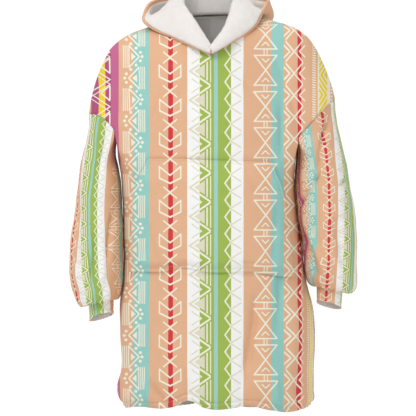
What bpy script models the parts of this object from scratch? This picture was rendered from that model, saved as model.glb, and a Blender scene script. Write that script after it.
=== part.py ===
"""A wearable blanket hoodie, hollow as it is worn, with each cut piece as a wall of cloth.

Metres, +Z up. The front faces -Y. The origin lies between the shoulders, at the foot of the neck.
Left and right are those of someone who looks at the front. The hood is down: its two halves
stand up from the neckline, roll outwards and lie on the shoulders, and hang as a pouch behind.
"""

from collections import namedtuple

import bpy
import numpy as np

# Cloth
BODY_WALL = 0.003
POCKET_WALL = 0.002
HOOD_SHELL_WALL = 0.002
HOOD_LINING_WALL = 0.004
SEAM_GAP = 0.0003
HOOD_LAYER_GAP = 0.0006
HOOD_SEAM_LIFT = 0.0012
SEAM_SHARE = 0.6
CUFF_SEAM_SHARE = 1.5

# Mesh counts. Columns run round the cloth, rows run down it.
FRONT_COLUMNS = 22
FRONT_CROWDING = 0.06
ARM_COLUMNS = 6
SIDE_COLUMNS = 4
TORSO_ROWS = 16
YOKE_ROWS = 8
SLEEVE_ROWS = 18
CUFF_ROWS = 3
POCKET_COLUMNS = 20
POCKET_ROWS = 8
HOOD_COLUMNS = 17
HOOD_STAND_ROWS = 4
HOOD_FALL_ROWS = 10
DENSE = 121

Side = namedtuple("Side", "sign arm_width fork_x fork_y fork_back fork_z middle_x middle_z top_z rise")
LEFT = Side(-1, 0.2745, 0.216, 0.090, 0.086, -0.238, 0.2110, -0.231, -0.200, 2.2)
RIGHT = Side(1, 0.2790, 0.196, 0.096, 0.090, -0.252, 0.1915, -0.244, -0.166, 1.1)

CHEST_FRONT = 0.155
CHEST_BACK = 0.145
NECK_SQUARENESS = 2.3
NECK_FULLNESS = 0.9
YOKE_EASE = 1.6

# The body below the arms: half-widths and depths of each level, from the origin's axis.
Section = namedtuple("Section", "z left right front back square")
TORSO_SECTIONS = (
    Section(-0.245, 0.212, 0.191, 0.1560, 0.1460, 2.9),
    Section(-0.300, 0.209, 0.188, 0.1590, 0.1480, 2.8),
    Section(-0.345, 0.203, 0.187, 0.1620, 0.1490, 2.7),
    Section(-0.400, 0.1995, 0.1895, 0.1660, 0.1500, 2.6),
    Section(-0.450, 0.1975, 0.1960, 0.1690, 0.1510, 2.5),
    Section(-0.495, 0.1968, 0.2035, 0.1700, 0.1510, 2.5),
    Section(-0.540, 0.1970, 0.2090, 0.1710, 0.1530, 2.4),
    Section(-0.585, 0.1995, 0.2165, 0.1690, 0.1560, 2.4),
    Section(-0.630, 0.205, 0.228, 0.1660, 0.1580, 2.4),
    Section(-0.700, 0.203, 0.234, 0.1640, 0.1610, 2.4),
    Section(-0.780, 0.202, 0.231, 0.1660, 0.1640, 2.4),
    Section(-0.822, 0.211, 0.231, 0.1670, 0.1650, 2.4),
    Section(-0.845, 0.204, 0.231, 0.1640, 0.1620, 2.4),
    Section(-0.862, 0.190, 0.216, 0.1580, 0.1560, 2.3),
)
UNDERARM_BLEND = 0.110

# The line of each shoulder from the neck out and down to the armhole's top.
Outline = namedtuple("Outline", "x z")
SHOULDER_LEFT = (
    Outline(0.092, 0.006), Outline(0.120, 0.001), Outline(0.150, -0.009), Outline(0.186, -0.022),
    Outline(0.209, -0.037), Outline(0.226, -0.053), Outline(0.240, -0.079), Outline(0.252, -0.106),
    Outline(0.2625, -0.138), Outline(0.2705, -0.170), Outline(0.2745, -0.200),
)
SHOULDER_RIGHT = (
    Outline(0.095, 0.016), Outline(0.118, 0.014), Outline(0.142, 0.009), Outline(0.170, 0.001),
    Outline(0.198, -0.011), Outline(0.216, -0.025), Outline(0.236, -0.052), Outline(0.250, -0.079),
    Outline(0.262, -0.108), Outline(0.273, -0.140), Outline(0.279, -0.166),
)

# Half of the neckline, from the side of the neck to the middle of the front and of the back.
Point = namedtuple("Point", "x y z")
NECK_FRONT = (
    Point(0.092, 0.000, 0.006), Point(0.087, -0.038, -0.004), Point(0.068, -0.084, -0.020),
    Point(0.036, -0.119, -0.043), Point(0.000, -0.134, -0.068),
)
NECK_BACK = (
    Point(0.092, 0.000, 0.006), Point(0.084, 0.036, 0.013), Point(0.048, 0.069, 0.020),
    Point(0.000, 0.079, 0.023),
)
NECK_RIGHT_LIFT = 0.010
NECK_RIGHT_WIDER = 0.003

# The hem's height along the front and along the back.
HEM_FRONT = (
    Outline(-0.190, -0.861), Outline(-0.171, -0.857), Outline(-0.150, -0.856), Outline(-0.128, -0.859),
    Outline(-0.100, -0.859), Outline(-0.081, -0.855), Outline(-0.060, -0.845), Outline(-0.041, -0.844),
    Outline(-0.018, -0.857), Outline(0.008, -0.862), Outline(0.045, -0.860), Outline(0.074, -0.855),
    Outline(0.095, -0.855), Outline(0.118, -0.861), Outline(0.144, -0.866), Outline(0.170, -0.869),
    Outline(0.192, -0.866), Outline(0.214, -0.860),
)
HEM_BACK = (
    Outline(-0.190, -0.861), Outline(-0.140, -0.855), Outline(-0.095, -0.861), Outline(-0.050, -0.857),
    Outline(-0.005, -0.848), Outline(0.040, -0.854), Outline(0.085, -0.863), Outline(0.130, -0.858),
    Outline(0.170, -0.855), Outline(0.214, -0.860),
)

# Each level of a sleeve: its inner and outer side, its front and back, and how far its outer
# side hangs below its inner side. The last rows turn in and up to the cuff's seam.
Level = namedtuple("Level", "z inner outer front back drop")
SLEEVE_LEFT = (
    Level(-0.222, 0.2110, 0.2760, -0.089, 0.084, 0.000),
    Level(-0.285, 0.2150, 0.2890, -0.090, 0.082, 0.000),
    Level(-0.325, 0.2100, 0.2955, -0.091, 0.079, 0.000),
    Level(-0.365, 0.2058, 0.2985, -0.092, 0.075, 0.000),
    Level(-0.410, 0.2030, 0.3050, -0.095, 0.070, 0.000),
    Level(-0.455, 0.2015, 0.3120, -0.099, 0.065, 0.000),
    Level(-0.500, 0.2010, 0.3165, -0.103, 0.061, 0.002),
    Level(-0.545, 0.2010, 0.3170, -0.106, 0.056, 0.005),
    Level(-0.580, 0.2030, 0.3120, -0.105, 0.050, 0.010),
    Level(-0.604, 0.2080, 0.3010, -0.099, 0.040, 0.016),
    Level(-0.615, 0.2130, 0.2900, -0.090, 0.028, 0.018),
    Level(-0.611, 0.2158, 0.2820, -0.082, 0.016, 0.014),
    Level(-0.600, 0.2180, 0.2765, -0.076, 0.006, 0.008),
)
SLEEVE_RIGHT = (
    Level(-0.220, 0.1935, 0.2870, -0.095, 0.088, 0.000),
    Level(-0.295, 0.1925, 0.3015, -0.097, 0.086, 0.000),
    Level(-0.345, 0.1915, 0.3110, -0.099, 0.083, 0.000),
    Level(-0.395, 0.1935, 0.3195, -0.103, 0.079, 0.000),
    Level(-0.440, 0.1985, 0.3255, -0.107, 0.074, 0.000),
    Level(-0.485, 0.2055, 0.3280, -0.110, 0.069, 0.002),
    Level(-0.525, 0.2115, 0.3265, -0.111, 0.064, 0.005),
    Level(-0.556, 0.2160, 0.3270, -0.109, 0.057, 0.010),
    Level(-0.575, 0.2210, 0.3240, -0.103, 0.048, 0.016),
    Level(-0.585, 0.2285, 0.3140, -0.094, 0.036, 0.018),
    Level(-0.583, 0.2345, 0.3030, -0.084, 0.020, 0.014),
    Level(-0.572, 0.2365, 0.2975, -0.078, 0.008, 0.008),
)
SLEEVE_SQUARE = 2.2
SLEEVE_BLEND = 0.22
GATHERS = 7
GATHER_DEPTH = 0.0035
GATHER_START = 0.62
GATHER_FADE = 0.06

# The cuffs: how far each runs on from the sleeve's end, and how its lower edge is set.
Cuff = namedtuple("Cuff", "side inner outer front back z drop tip")
CUFF_LEFT = Cuff(-1, 0.2190, 0.2735, -0.077, -0.002, -0.642, 0.016, 0.006)
CUFF_RIGHT = Cuff(1, 0.2375, 0.2925, -0.080, 0.000, -0.617, 0.014, 0.006)

# Soft folds of the front and back: a trough or a ridge from one end to the other.
Fold = namedtuple("Fold", "face x0 z0 x1 z1 width depth")
FOLD_HOLD = 1.15
FOLD_FADE = 1.4
FOLDS = (
    Fold(-1, 0.099, -0.615, 0.076, -0.800, 0.026, -0.0080),
    Fold(-1, 0.128, -0.640, 0.118, -0.820, 0.030, 0.0050),
    Fold(-1, 0.154, -0.560, 0.150, -0.690, 0.026, -0.0060),
    Fold(-1, 0.158, -0.170, 0.154, -0.300, 0.024, -0.0060),
    Fold(-1, 0.178, -0.100, 0.172, -0.240, 0.028, 0.0045),
    Fold(-1, -0.150, -0.790, -0.105, -0.850, 0.022, -0.0050),
    Fold(-1, -0.185, -0.640, -0.160, -0.780, 0.026, 0.0045),
    Fold(-1, -0.060, -0.620, -0.055, -0.850, 0.040, 0.0035),
    Fold(1, -0.120, -0.300, -0.100, -0.700, 0.034, -0.0070),
    Fold(1, -0.055, -0.420, -0.040, -0.840, 0.036, 0.0060),
    Fold(1, 0.040, -0.360, 0.030, -0.760, 0.034, -0.0065),
    Fold(1, 0.110, -0.300, 0.125, -0.800, 0.036, 0.0060),
    Fold(1, 0.165, -0.260, 0.150, -0.640, 0.028, -0.0060),
    Fold(1, -0.170, -0.240, -0.165, -0.560, 0.028, 0.0050),
)

# The pocket patch: half-widths at each height, measured from its own middle line.
Patch = namedtuple("Patch", "z left right")
POCKET_EDGE = (
    Patch(-0.305, 0.140, 0.138), Patch(-0.318, 0.146, 0.142), Patch(-0.360, 0.162, 0.152),
    Patch(-0.405, 0.174, 0.162), Patch(-0.440, 0.178, 0.170), Patch(-0.470, 0.179, 0.178),
    Patch(-0.556, 0.181, 0.186),
)
POCKET_SAG = 0.005
POCKET_STAND_OFF = 0.0009
POCKET_BULGE = 0.011
POCKET_FREE_Z = (-0.318, -0.440)
POCKET_FREE_EASE = (0.03, 0.05)
POCKET_SQUARENESS = 6
POCKET_MOUTH_SHARE = 0.75
POCKET_END_SHARES = (0.22, 0.10)

# The hood's half, from the tip at the middle of the front round to the middle of the back.
# Each row crosses the cloth: the roll, the fall, the turn of the pouch, its rise, and the edge.
Rib = namedtuple("Rib", "along roll fall turn rise edge")
HOOD_LEFT = (
    Rib(0.00, Point(0.0010, -0.1395, -0.0590), Point(0.0012, -0.1425, -0.0600),
        Point(0.0014, -0.1440, -0.0622), Point(0.0016, -0.1446, -0.0645), Point(0.0018, -0.1450, -0.0670)),
    Rib(0.15, Point(0.0203, -0.1260, -0.0293), Point(0.0270, -0.1330, -0.0325),
        Point(0.0335, -0.1350, -0.0380), Point(0.0405, -0.1335, -0.0430), Point(0.0473, -0.1300, -0.0475)),
    Rib(0.28, Point(0.0380, -0.1040, 0.0000), Point(0.0500, -0.1080, -0.0050),
        Point(0.0620, -0.1060, -0.0135), Point(0.0750, -0.1000, -0.0215), Point(0.0878, -0.0920, -0.0293)),
    Rib(0.40, Point(0.0540, -0.0700, 0.0248), Point(0.0720, -0.0720, 0.0180),
        Point(0.0910, -0.0690, 0.0060), Point(0.1090, -0.0620, -0.0040), Point(0.1260, -0.0530, -0.0125)),
    Rib(0.50, Point(0.0630, -0.0370, 0.0380), Point(0.0850, -0.0360, 0.0310),
        Point(0.1080, -0.0320, 0.0180), Point(0.1300, -0.0240, 0.0090), Point(0.1505, -0.0150, 0.0055)),
    Rib(0.61, Point(0.0665, 0.0000, 0.0540), Point(0.0900, 0.0050, 0.0440),
        Point(0.1200, 0.0160, 0.0200), Point(0.1420, 0.0270, 0.0160), Point(0.1515, 0.0330, 0.0260)),
    Rib(0.74, Point(0.0600, 0.0450, 0.0800), Point(0.0840, 0.0660, 0.0550),
        Point(0.1150, 0.1170, -0.0190), Point(0.1390, 0.1250, 0.0080), Point(0.1340, 0.1020, 0.0540)),
    Rib(0.87, Point(0.0350, 0.0740, 0.0930), Point(0.0480, 0.1020, 0.0600),
        Point(0.0700, 0.1560, -0.0850), Point(0.0880, 0.1930, -0.0220), Point(0.0830, 0.1600, 0.0680)),
    Rib(1.00, Point(0.0000, 0.0840, 0.0980), Point(0.0000, 0.1130, 0.0620),
        Point(0.0000, 0.1700, -0.1020), Point(0.0000, 0.2130, -0.0300), Point(0.0000, 0.1800, 0.0740)),
)
HOOD_RIGHT = (
    HOOD_LEFT[0],
    Rib(0.15, Point(0.0180, -0.1260, -0.0340), Point(0.0240, -0.1330, -0.0360),
        Point(0.0300, -0.1350, -0.0390), Point(0.0365, -0.1335, -0.0415), Point(0.0425, -0.1300, -0.0435)),
    Rib(0.28, Point(0.0340, -0.1040, -0.0115), Point(0.0435, -0.1080, -0.0115),
        Point(0.0540, -0.1070, -0.0150), Point(0.0650, -0.1020, -0.0195), Point(0.0760, -0.0950, -0.0230)),
    Rib(0.40, Point(0.0455, -0.0720, 0.0170), Point(0.0590, -0.0750, 0.0150),
        Point(0.0740, -0.0740, 0.0090), Point(0.0885, -0.0700, 0.0020), Point(0.1005, -0.0640, -0.0025)),
    Rib(0.50, Point(0.0515, -0.0370, 0.0400), Point(0.0680, -0.0390, 0.0370),
        Point(0.0860, -0.0390, 0.0290), Point(0.1010, -0.0370, 0.0210), Point(0.1115, -0.0340, 0.0160)),
    Rib(0.61, Point(0.0560, 0.0000, 0.0560), Point(0.0760, 0.0040, 0.0500),
        Point(0.1040, 0.0140, 0.0300), Point(0.1255, 0.0240, 0.0270), Point(0.1235, 0.0290, 0.0480)),
    Rib(0.74, Point(0.0540, 0.0450, 0.0800), Point(0.0780, 0.0660, 0.0560),
        Point(0.1120, 0.1180, -0.0160), Point(0.1360, 0.1250, 0.0130), Point(0.1270, 0.1020, 0.0600)),
    Rib(0.87, Point(0.0330, 0.0740, 0.0930), Point(0.0460, 0.1020, 0.0600),
        Point(0.0680, 0.1560, -0.0850), Point(0.0850, 0.1930, -0.0220), Point(0.0780, 0.1600, 0.0690)),
    HOOD_LEFT[-1],
)
HOOD_EDGE_BAND = 0.0055
HOOD_STAND_SHARE = 0.55
HOOD_ROLL_CROWDING = 1.4
HOOD_BAND_HEIGHT = 0.6
HOOD_BAND_LIMIT = 0.35
HOOD_BAND_SHARES = (0.80, 0.66, 0.0)

# Looks: base colour, roughness
Finish = namedtuple("Finish", "red green blue roughness")
FINISHES = {
    "body": Finish(0.78, 0.50, 0.32, 0.90),
    "sleeve": Finish(0.36, 0.62, 0.58, 0.90),
    "cuff": Finish(0.80, 0.66, 0.30, 0.90),
    "pocket": Finish(0.62, 0.30, 0.36, 0.90),
    "hood": Finish(0.74, 0.46, 0.30, 0.90),
    "hood_lining": Finish(0.86, 0.83, 0.80, 1.00),
}


def smoothstep(value):
    value = np.clip(value, 0.0, 1.0)
    return value * value * (3 - 2 * value)


def curve_at(at, knots, values):
    """Points of a smooth curve through `values`, which lie at the rising `knots`."""
    knots = np.asarray(knots, float)
    values = np.asarray(values, float)
    slopes = np.gradient(values, knots, axis=0)
    at = np.clip(np.asarray(at, float), knots[0], knots[-1])
    low = np.clip(np.searchsorted(knots, at, side="right") - 1, 0, len(knots) - 2)
    step = knots[low + 1] - knots[low]
    t = (at - knots[low]) / step
    if values.ndim > 1:
        t, step = t[:, None], step[:, None]
    start = values[low] * (2 * t**3 - 3 * t**2 + 1) + slopes[low] * step * (t**3 - 2 * t**2 + t)
    end = values[low + 1] * (3 * t**2 - 2 * t**3) + slopes[low + 1] * step * (t**3 - t**2)
    return start + end


def lengths_along(points):
    steps = np.linalg.norm(np.diff(points, axis=0), axis=1)
    return np.concatenate([[0.0], np.cumsum(steps)])


def curve_through(points):
    """A dense curve through a few points."""
    points = np.asarray(points, float)
    knots = lengths_along(points)
    return curve_at(np.linspace(0, knots[-1], DENSE), knots, points)


def sample(points, shares):
    """Points at the given shares, 0 to 1, of a dense curve's length."""
    length = lengths_along(points)
    at = np.asarray(shares, float) * length[-1]
    return np.stack([np.interp(at, length, points[:, k]) for k in range(3)], axis=1)


def power(value, exponent):
    return np.sign(value) * np.abs(value) ** exponent


def side_of(x):
    return LEFT if x < 0 else RIGHT


# The yoke's lower edge. Columns are numbered 0 to 3 along the front, or the back: 0 and 3 are the
# armholes' tops, and 1 and 2 are the forks, where the sleeve, the yoke and the body meet.


def fork(side, face):
    y = side.fork_y if face < 0 else side.fork_back
    return np.array([side.sign * side.fork_x, face * y, side.fork_z])


def chest_arc(face):
    """The level line across the chest or the back from the left fork to the right one."""
    start, end = fork(LEFT, face), fork(RIGHT, face)
    depth = CHEST_FRONT if face < 0 else CHEST_BACK
    turn = np.linspace(-1, 1, DENSE)
    bow = (1 - np.abs(turn) ** NECK_SQUARENESS) ** NECK_FULLNESS
    share = (turn + 1) / 2
    line = start + share[:, None] * (end - start)
    line[:, 1] += face * (depth - abs(line[:, 1])) * bow
    return line


def armhole_arc(side, face):
    """The armhole's seam over the arm, from its top to the fork."""
    low = fork(side, face)
    angle = np.linspace(0, np.pi / 2, DENSE)
    out = np.cos(angle) ** NECK_FULLNESS
    x = side.fork_x + (side.arm_width - side.fork_x) * out
    y = abs(low[1]) * np.sin(angle)
    z = side.fork_z + (side.top_z - side.fork_z) * (1 - (1 - out) ** side.rise)
    return np.stack([side.sign * x, face * y, z], axis=1)


def underarm(side, face):
    """Half of the line under the arm, from the side seam to the fork."""
    middle = np.array([side.sign * side.middle_x, 0.0, side.middle_z])
    share = np.linspace(0, 1, DENSE)[:, None]
    line = middle + share * (fork(side, face) - middle)
    line[:, 0] = middle[0] + (share[:, 0] ** 2) * (fork(side, face)[0] - middle[0])
    return line


def split_columns(columns, parts):
    """Samples part k of a line for columns k to k + 1."""
    points = np.zeros((len(columns), 3))
    last = len(parts) - 1
    for index, part in enumerate(parts):
        inside = (columns >= index) & ((columns < index + 1) | (index == last))
        points[inside] = sample(part, columns[inside] - index)
    return points


def yoke_edge(columns, face):
    return split_columns(
        columns, [armhole_arc(LEFT, face), chest_arc(face), armhole_arc(RIGHT, face)[::-1]]
    )


def torso_top(columns, face):
    return split_columns(
        columns, [underarm(LEFT, face), chest_arc(face), underarm(RIGHT, face)[::-1]]
    )


def neckline_half(sign, face):
    """Half of the neckline as a dense curve, from the side of the neck to the middle."""
    table = np.array(NECK_FRONT if face < 0 else NECK_BACK)
    if sign > 0:
        share = np.linspace(1, 0, len(table))
        table[:, 2] += NECK_RIGHT_LIFT * share
        table[:, 0] += NECK_RIGHT_WIDER * share
    line = curve_through(table)
    line[:, 0] *= sign
    return line


def neckline(shares, face):
    """The front or back neckline, where share 0 is the left side, 0.5 the middle, 1 the right."""
    left = sample(neckline_half(-1, face), np.clip(shares * 2, 0, 1))
    right = sample(neckline_half(1, face), np.clip(2 - shares * 2, 0, 1))
    return np.where((shares <= 0.5)[:, None], left, right)


def shoulder_shares(side):
    """How far out, and how far down, the shoulder's line has gone at each share of its length."""
    table = np.array(SHOULDER_LEFT if side is LEFT else SHOULDER_RIGHT)
    line = curve_through(np.column_stack([table[:, 0], np.zeros(len(table)), table[:, 1]]))
    line = sample(line, np.linspace(0, 1, DENSE))
    out = (line[:, 0] - line[0, 0]) / (line[-1, 0] - line[0, 0])
    down = (line[:, 2] - line[0, 2]) / (line[-1, 2] - line[0, 2])
    return out, down


def yoke_shares(columns, face):
    """Where each column meets the neckline: by its place along the yoke's lower edge."""
    fine = np.linspace(0, 3, 3 * DENSE)
    length = lengths_along(yoke_edge(fine, face))
    middle = np.interp(1.5, fine, length)
    at = np.interp(columns, fine, length)
    left = 0.5 * at / middle
    right = 0.5 + 0.5 * (at - middle) / (length[-1] - middle)
    return np.where(columns <= 1.5, left, right)


def yoke_rows(columns, rows, face):
    """Rows of the yoke from its lower edge, share 0, up over the shoulders to the neckline."""
    low = yoke_edge(columns, face)
    high = neckline(yoke_shares(columns, face), face)
    angle = np.linspace(0, np.pi / 2, DENSE)
    easy_out = np.sin(angle) ** YOKE_EASE
    easy_down = 1 - np.cos(angle) ** YOKE_EASE
    points = np.zeros((len(rows), len(columns), 3))
    for index in range(len(columns)):
        side = side_of(low[index, 0])
        out, down = shoulder_shares(side)
        weight = min(abs(low[index, 0]) / side.arm_width, 1.0) ** 2
        out = weight * out + (1 - weight) * easy_out
        down = weight * down + (1 - weight) * easy_down
        step = low[index] - high[index]
        line = high[index] + np.stack([out * step[0], out * step[1], down * step[2]], axis=1)
        points[:, index] = sample(line, 1 - np.asarray(rows))
    return points


def torso_ring(z, columns, face):
    """One level of the body below the arms, for columns 0 to 3 from side seam to side seam."""
    table = np.array(TORSO_SECTIONS)
    left, right, front, back, square = curve_at([-z], -table[:, 0], table[:, 1:])[0]
    depth = front if face < 0 else back
    angle = np.linspace(0, np.pi, 4 * DENSE)
    x = -power(np.cos(angle), 2 / square)
    ring = np.stack(
        [np.where(x < 0, x * left, x * right), face * depth * np.sin(angle) ** (2 / square),
         np.full(len(angle), z)], axis=1
    )
    length = lengths_along(ring)[-1]
    share_left = fork_share(LEFT, face) / length
    share_right = 1 - fork_share(RIGHT, face) / length
    shares = np.interp(columns, [0, 1, 2, 3], [0, share_left, share_right, 1])
    return sample(ring, shares)


def fork_share(side, face):
    return lengths_along(underarm(side, face))[-1]


def hem_height(x, face):
    table = np.array(HEM_FRONT if face < 0 else HEM_BACK)
    return curve_at(x, table[:, 0], table[:, 1])


def torso_rows(columns, rows, face):
    """Rows of the body from the underarm level, share 0, down to the hem, share 1."""
    top = torso_top(columns, face)
    end = torso_ring(TORSO_SECTIONS[-1].z, columns, face)
    hem = hem_height(end[:, 0], face)
    points = np.zeros((len(rows), len(columns), 3))
    for index, share in enumerate(rows):
        level = TORSO_SECTIONS[0].z + share * (TORSO_SECTIONS[-1].z - TORSO_SECTIONS[0].z)
        ring = torso_ring(level, columns, face)
        blend = smoothstep((TORSO_SECTIONS[0].z - level) / UNDERARM_BLEND)
        points[index] = top + blend * (ring - top)
        points[index, :, 2] = top[:, 2] + share * (hem - top[:, 2])
    return points


def armhole_ring(side):
    """The closed seam of a sleeve, columns 0 to 4: top, front fork, underarm, back fork, top."""
    return [
        armhole_arc(side, -1), underarm(side, -1)[::-1], underarm(side, 1), armhole_arc(side, 1)[::-1]
    ]


def ring_shares(side, columns):
    """The share of the sleeve's front half, 0 to 1, and of its back half, 1 to 2, at each column."""
    parts = armhole_ring(side)
    lengths = [lengths_along(part)[-1] for part in parts]
    front = lengths[0] / (lengths[0] + lengths[1])
    back = lengths[2] / (lengths[2] + lengths[3])
    return np.interp(columns, [0, 1, 2, 3, 4], [0, front, 1, 1 + back, 2])


def sleeve_ring(side, level, shares):
    """A level of the sleeve, where shares 0 and 2 are its outer side and 1 is its inner side."""
    z, inner, outer, front, back, drop = level
    angle = np.linspace(0, np.pi, 2 * DENSE)
    middle = (front + back) / 2
    depth = (back - front) / 2
    out = power(np.cos(angle), 2 / SLEEVE_SQUARE)
    deep = np.sin(angle) ** (2 / SLEEVE_SQUARE)
    x = side.sign * ((inner + outer) / 2 + (outer - inner) / 2 * out)
    height = z - drop * (out + 1) / 2
    front_half = np.stack([x, middle - depth * deep, height], axis=1)
    back_half = np.stack([x, middle + depth * deep, height], axis=1)[::-1]
    near = sample(front_half, np.clip(shares, 0, 1))
    far = sample(back_half, np.clip(shares - 1, 0, 1))
    return np.where((shares <= 1)[:, None], near, far)


def sleeve_rows(side, table, columns, rows):
    """Rows of a sleeve from the armhole's seam, share 0, to the cuff's seam, share 1."""
    levels = np.array(table)
    knots = lengths_along(levels[:, [0, 2, 4]])
    knots = knots / knots[-1]
    seam = split_columns(columns, armhole_ring(side))
    shares = ring_shares(side, columns)
    points = np.zeros((len(rows), len(columns), 3))
    for index, row in enumerate(rows):
        level = curve_at([row], knots, levels)[0]
        ring = sleeve_ring(side, level, shares)
        blend = smoothstep(row / SLEEVE_BLEND)
        placed = seam + [0, 0, level[0] - levels[0, 0]]
        points[index] = placed + blend * (ring - placed)
        gather = smoothstep((row - GATHER_START) / (1 - GATHER_START)) * smoothstep((1 - row) / GATHER_FADE)
        middle = points[index].mean(axis=0)
        spoke = points[index, :, :2] - middle[:2]
        spoke /= np.linalg.norm(spoke, axis=1)[:, None]
        wave = GATHER_DEPTH * gather * np.sin(np.pi * GATHERS * shares + np.sin(np.pi * shares))
        points[index, :, :2] += spoke * wave[:, None]
    return points


def cuff_rows(cuff, sleeve_end, rows, shares):
    """Rows of a cuff from just under the sleeve's end, share 0, to its own lower edge, share 1."""
    side = LEFT if cuff.side < 0 else RIGHT
    level = Level(cuff.z, cuff.inner, cuff.outer, cuff.front, cuff.back, cuff.drop)
    end = sleeve_ring(side, level, shares)
    end[:, 2] -= cuff.tip * (end[:, 1] - cuff.front) / (cuff.back - cuff.front) * 2
    start = sleeve_end.copy()
    middle = start.mean(axis=0)
    inward = middle[:2] - start[:, :2]
    start[:, :2] += inward / np.linalg.norm(inward, axis=1)[:, None] * SEAM_GAP * CUFF_SEAM_SHARE
    return np.stack([start + share * (end - start) for share in rows])


# Folds are soft troughs and ridges that push the front and back cloth in or out.


def fold_push(points, face):
    push = np.zeros(len(points))
    for fold in FOLDS:
        if fold.face != face:
            continue
        start = np.array([fold.x0, fold.z0])
        run = np.array([fold.x1, fold.z1]) - start
        place = points[:, [0, 2]] - start
        along = place @ run / (run @ run)
        away = np.linalg.norm(place - np.clip(along, 0, 1)[:, None] * run, axis=1)
        fade = smoothstep(FOLD_HOLD - np.abs(along - 0.5) * FOLD_FADE)
        push += fold.depth * fade * np.exp(-((away / (fold.width / 2)) ** 2))
    return push


class Cloth:
    """A skin of welded points and four-sided faces, each face in a named piece."""

    def __init__(self):
        self.points = []
        self.faces = []
        self.index = {}

    def add(self, point):
        key = tuple(np.round(point, 7))
        if key not in self.index:
            self.index[key] = len(self.points)
            self.points.append(np.array(point, float))
        return self.index[key]

    def grid(self, piece, rows, flip=False, closed=False):
        """Adds rows of points as faces. Seen from outside, rows run down and columns run right."""
        ids = [[self.add(point) for point in row] for row in rows]
        count = len(ids[0]) if closed else len(ids[0]) - 1
        for upper, lower in zip(ids, ids[1:]):
            for k in range(count):
                right = (k + 1) % len(upper)
                face = [upper[k], lower[k], lower[right], upper[right]]
                face = face[::-1] if flip else face
                self.faces.append((piece, face))
        return ids

    def normals(self):
        points = np.array(self.points)
        total = np.zeros_like(points)
        for _, face in self.faces:
            a, b, c, d = points[face]
            total[face] += np.cross(c - a, d - b)
        return total / np.linalg.norm(total, axis=1)[:, None]


def triangles(points, faces):
    """Each four-sided face cut across its shorter diagonal, so that layered walls fold alike."""
    cut = []
    for a, b, c, d in faces:
        if np.linalg.norm(points[a] - points[c]) < np.linalg.norm(points[b] - points[d]):
            cut += [[a, b, c], [a, c, d]]
        else:
            cut += [[a, b, d], [b, c, d]]
    return cut


def edges_of(faces):
    """Each edge that only one face has, in that face's own direction."""
    seen = {}
    for face in faces:
        for k, end in enumerate(face):
            start = face[k - 1]
            seen[(start, end)] = True
    return [edge for edge in seen if (edge[1], edge[0]) not in seen]


def wall(name, finish, points, normals, faces, outside, inside):
    """Makes a closed wall from a skin: its faces moved along the normals by two amounts."""
    used = sorted({v for face in faces for v in face})
    place = {v: k for k, v in enumerate(used)}
    faces = [[place[v] for v in face] for face in triangles(points, faces)]
    outer = (points + normals * np.reshape(outside, (-1, 1)))[used]
    inner = (points + normals * np.reshape(inside, (-1, 1)))[used]
    count = len(used)
    solid = [list(face) for face in faces]
    solid += [[v + count for v in reversed(face)] for face in faces]
    solid += [[end, start, start + count, end + count] for start, end in edges_of(faces)]
    mesh = bpy.data.meshes.new(name)
    mesh.from_pydata(np.vstack([outer, inner]).tolist(), [], solid)
    mesh.validate()
    mesh.shade_smooth()
    mesh.set_sharp_from_angle(angle=np.radians(50))
    mesh.materials.append(material(finish))
    piece = bpy.data.objects.new(name, mesh)
    bpy.context.scene.collection.objects.link(piece)
    return piece


def material(name):
    made = bpy.data.materials.get(name)
    if made:
        return made
    finish = FINISHES[name]
    made = bpy.data.materials.new(name)
    made.use_nodes = True
    shader = made.node_tree.nodes["Principled BSDF"]
    shader.inputs["Base Color"].default_value = (finish.red, finish.green, finish.blue, 1.0)
    shader.inputs["Roughness"].default_value = finish.roughness
    shader.inputs["Metallic"].default_value = 0.0
    return made


def seam_edges_in(points, faces, apart):
    """Pulls each edge point of a piece half the seam's gap back into the piece."""
    moved = points.copy()
    toward = {}
    rim = {v for edge in edges_of(faces) for v in edge}
    for face in faces:
        middle = points[face].mean(axis=0)
        for v in face:
            if v in rim:
                step = middle - points[v]
                toward[v] = toward.get(v, 0) + step / np.linalg.norm(step)
    for v, step in toward.items():
        moved[v] += step / np.linalg.norm(step) * SEAM_GAP * SEAM_SHARE
    for v, step in apart.items():
        if v in toward:
            moved[v] += step
    return moved


def spaced(counts):
    """Column numbers: part k has counts[k] columns from k to k + 1, both ends included."""
    parts = []
    for index, count in enumerate(counts):
        share = np.linspace(0, 1, count + 1)[:-1]
        if count == FRONT_COLUMNS:
            share = crowded(share)
        parts.append(index + share)
    return np.concatenate(parts + [[len(counts)]])


def crowded(share):
    """Shares from 0 to 1, closer together near both ends, where the front turns to the side."""
    return share - FRONT_CROWDING * np.sin(2 * np.pi * share)


def body_rows(columns, rows, face):
    """The body below the arms, with its folds. Its side seams stay where they are."""
    points = torso_rows(columns, rows, face)
    return folded(points, face)


def folded(points, face):
    push = fold_push(points.reshape(-1, 3), face).reshape(points.shape[:2])
    push[:, 0] = push[:, -1] = 0
    points[:, :, 1] += face * push
    return points


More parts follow.
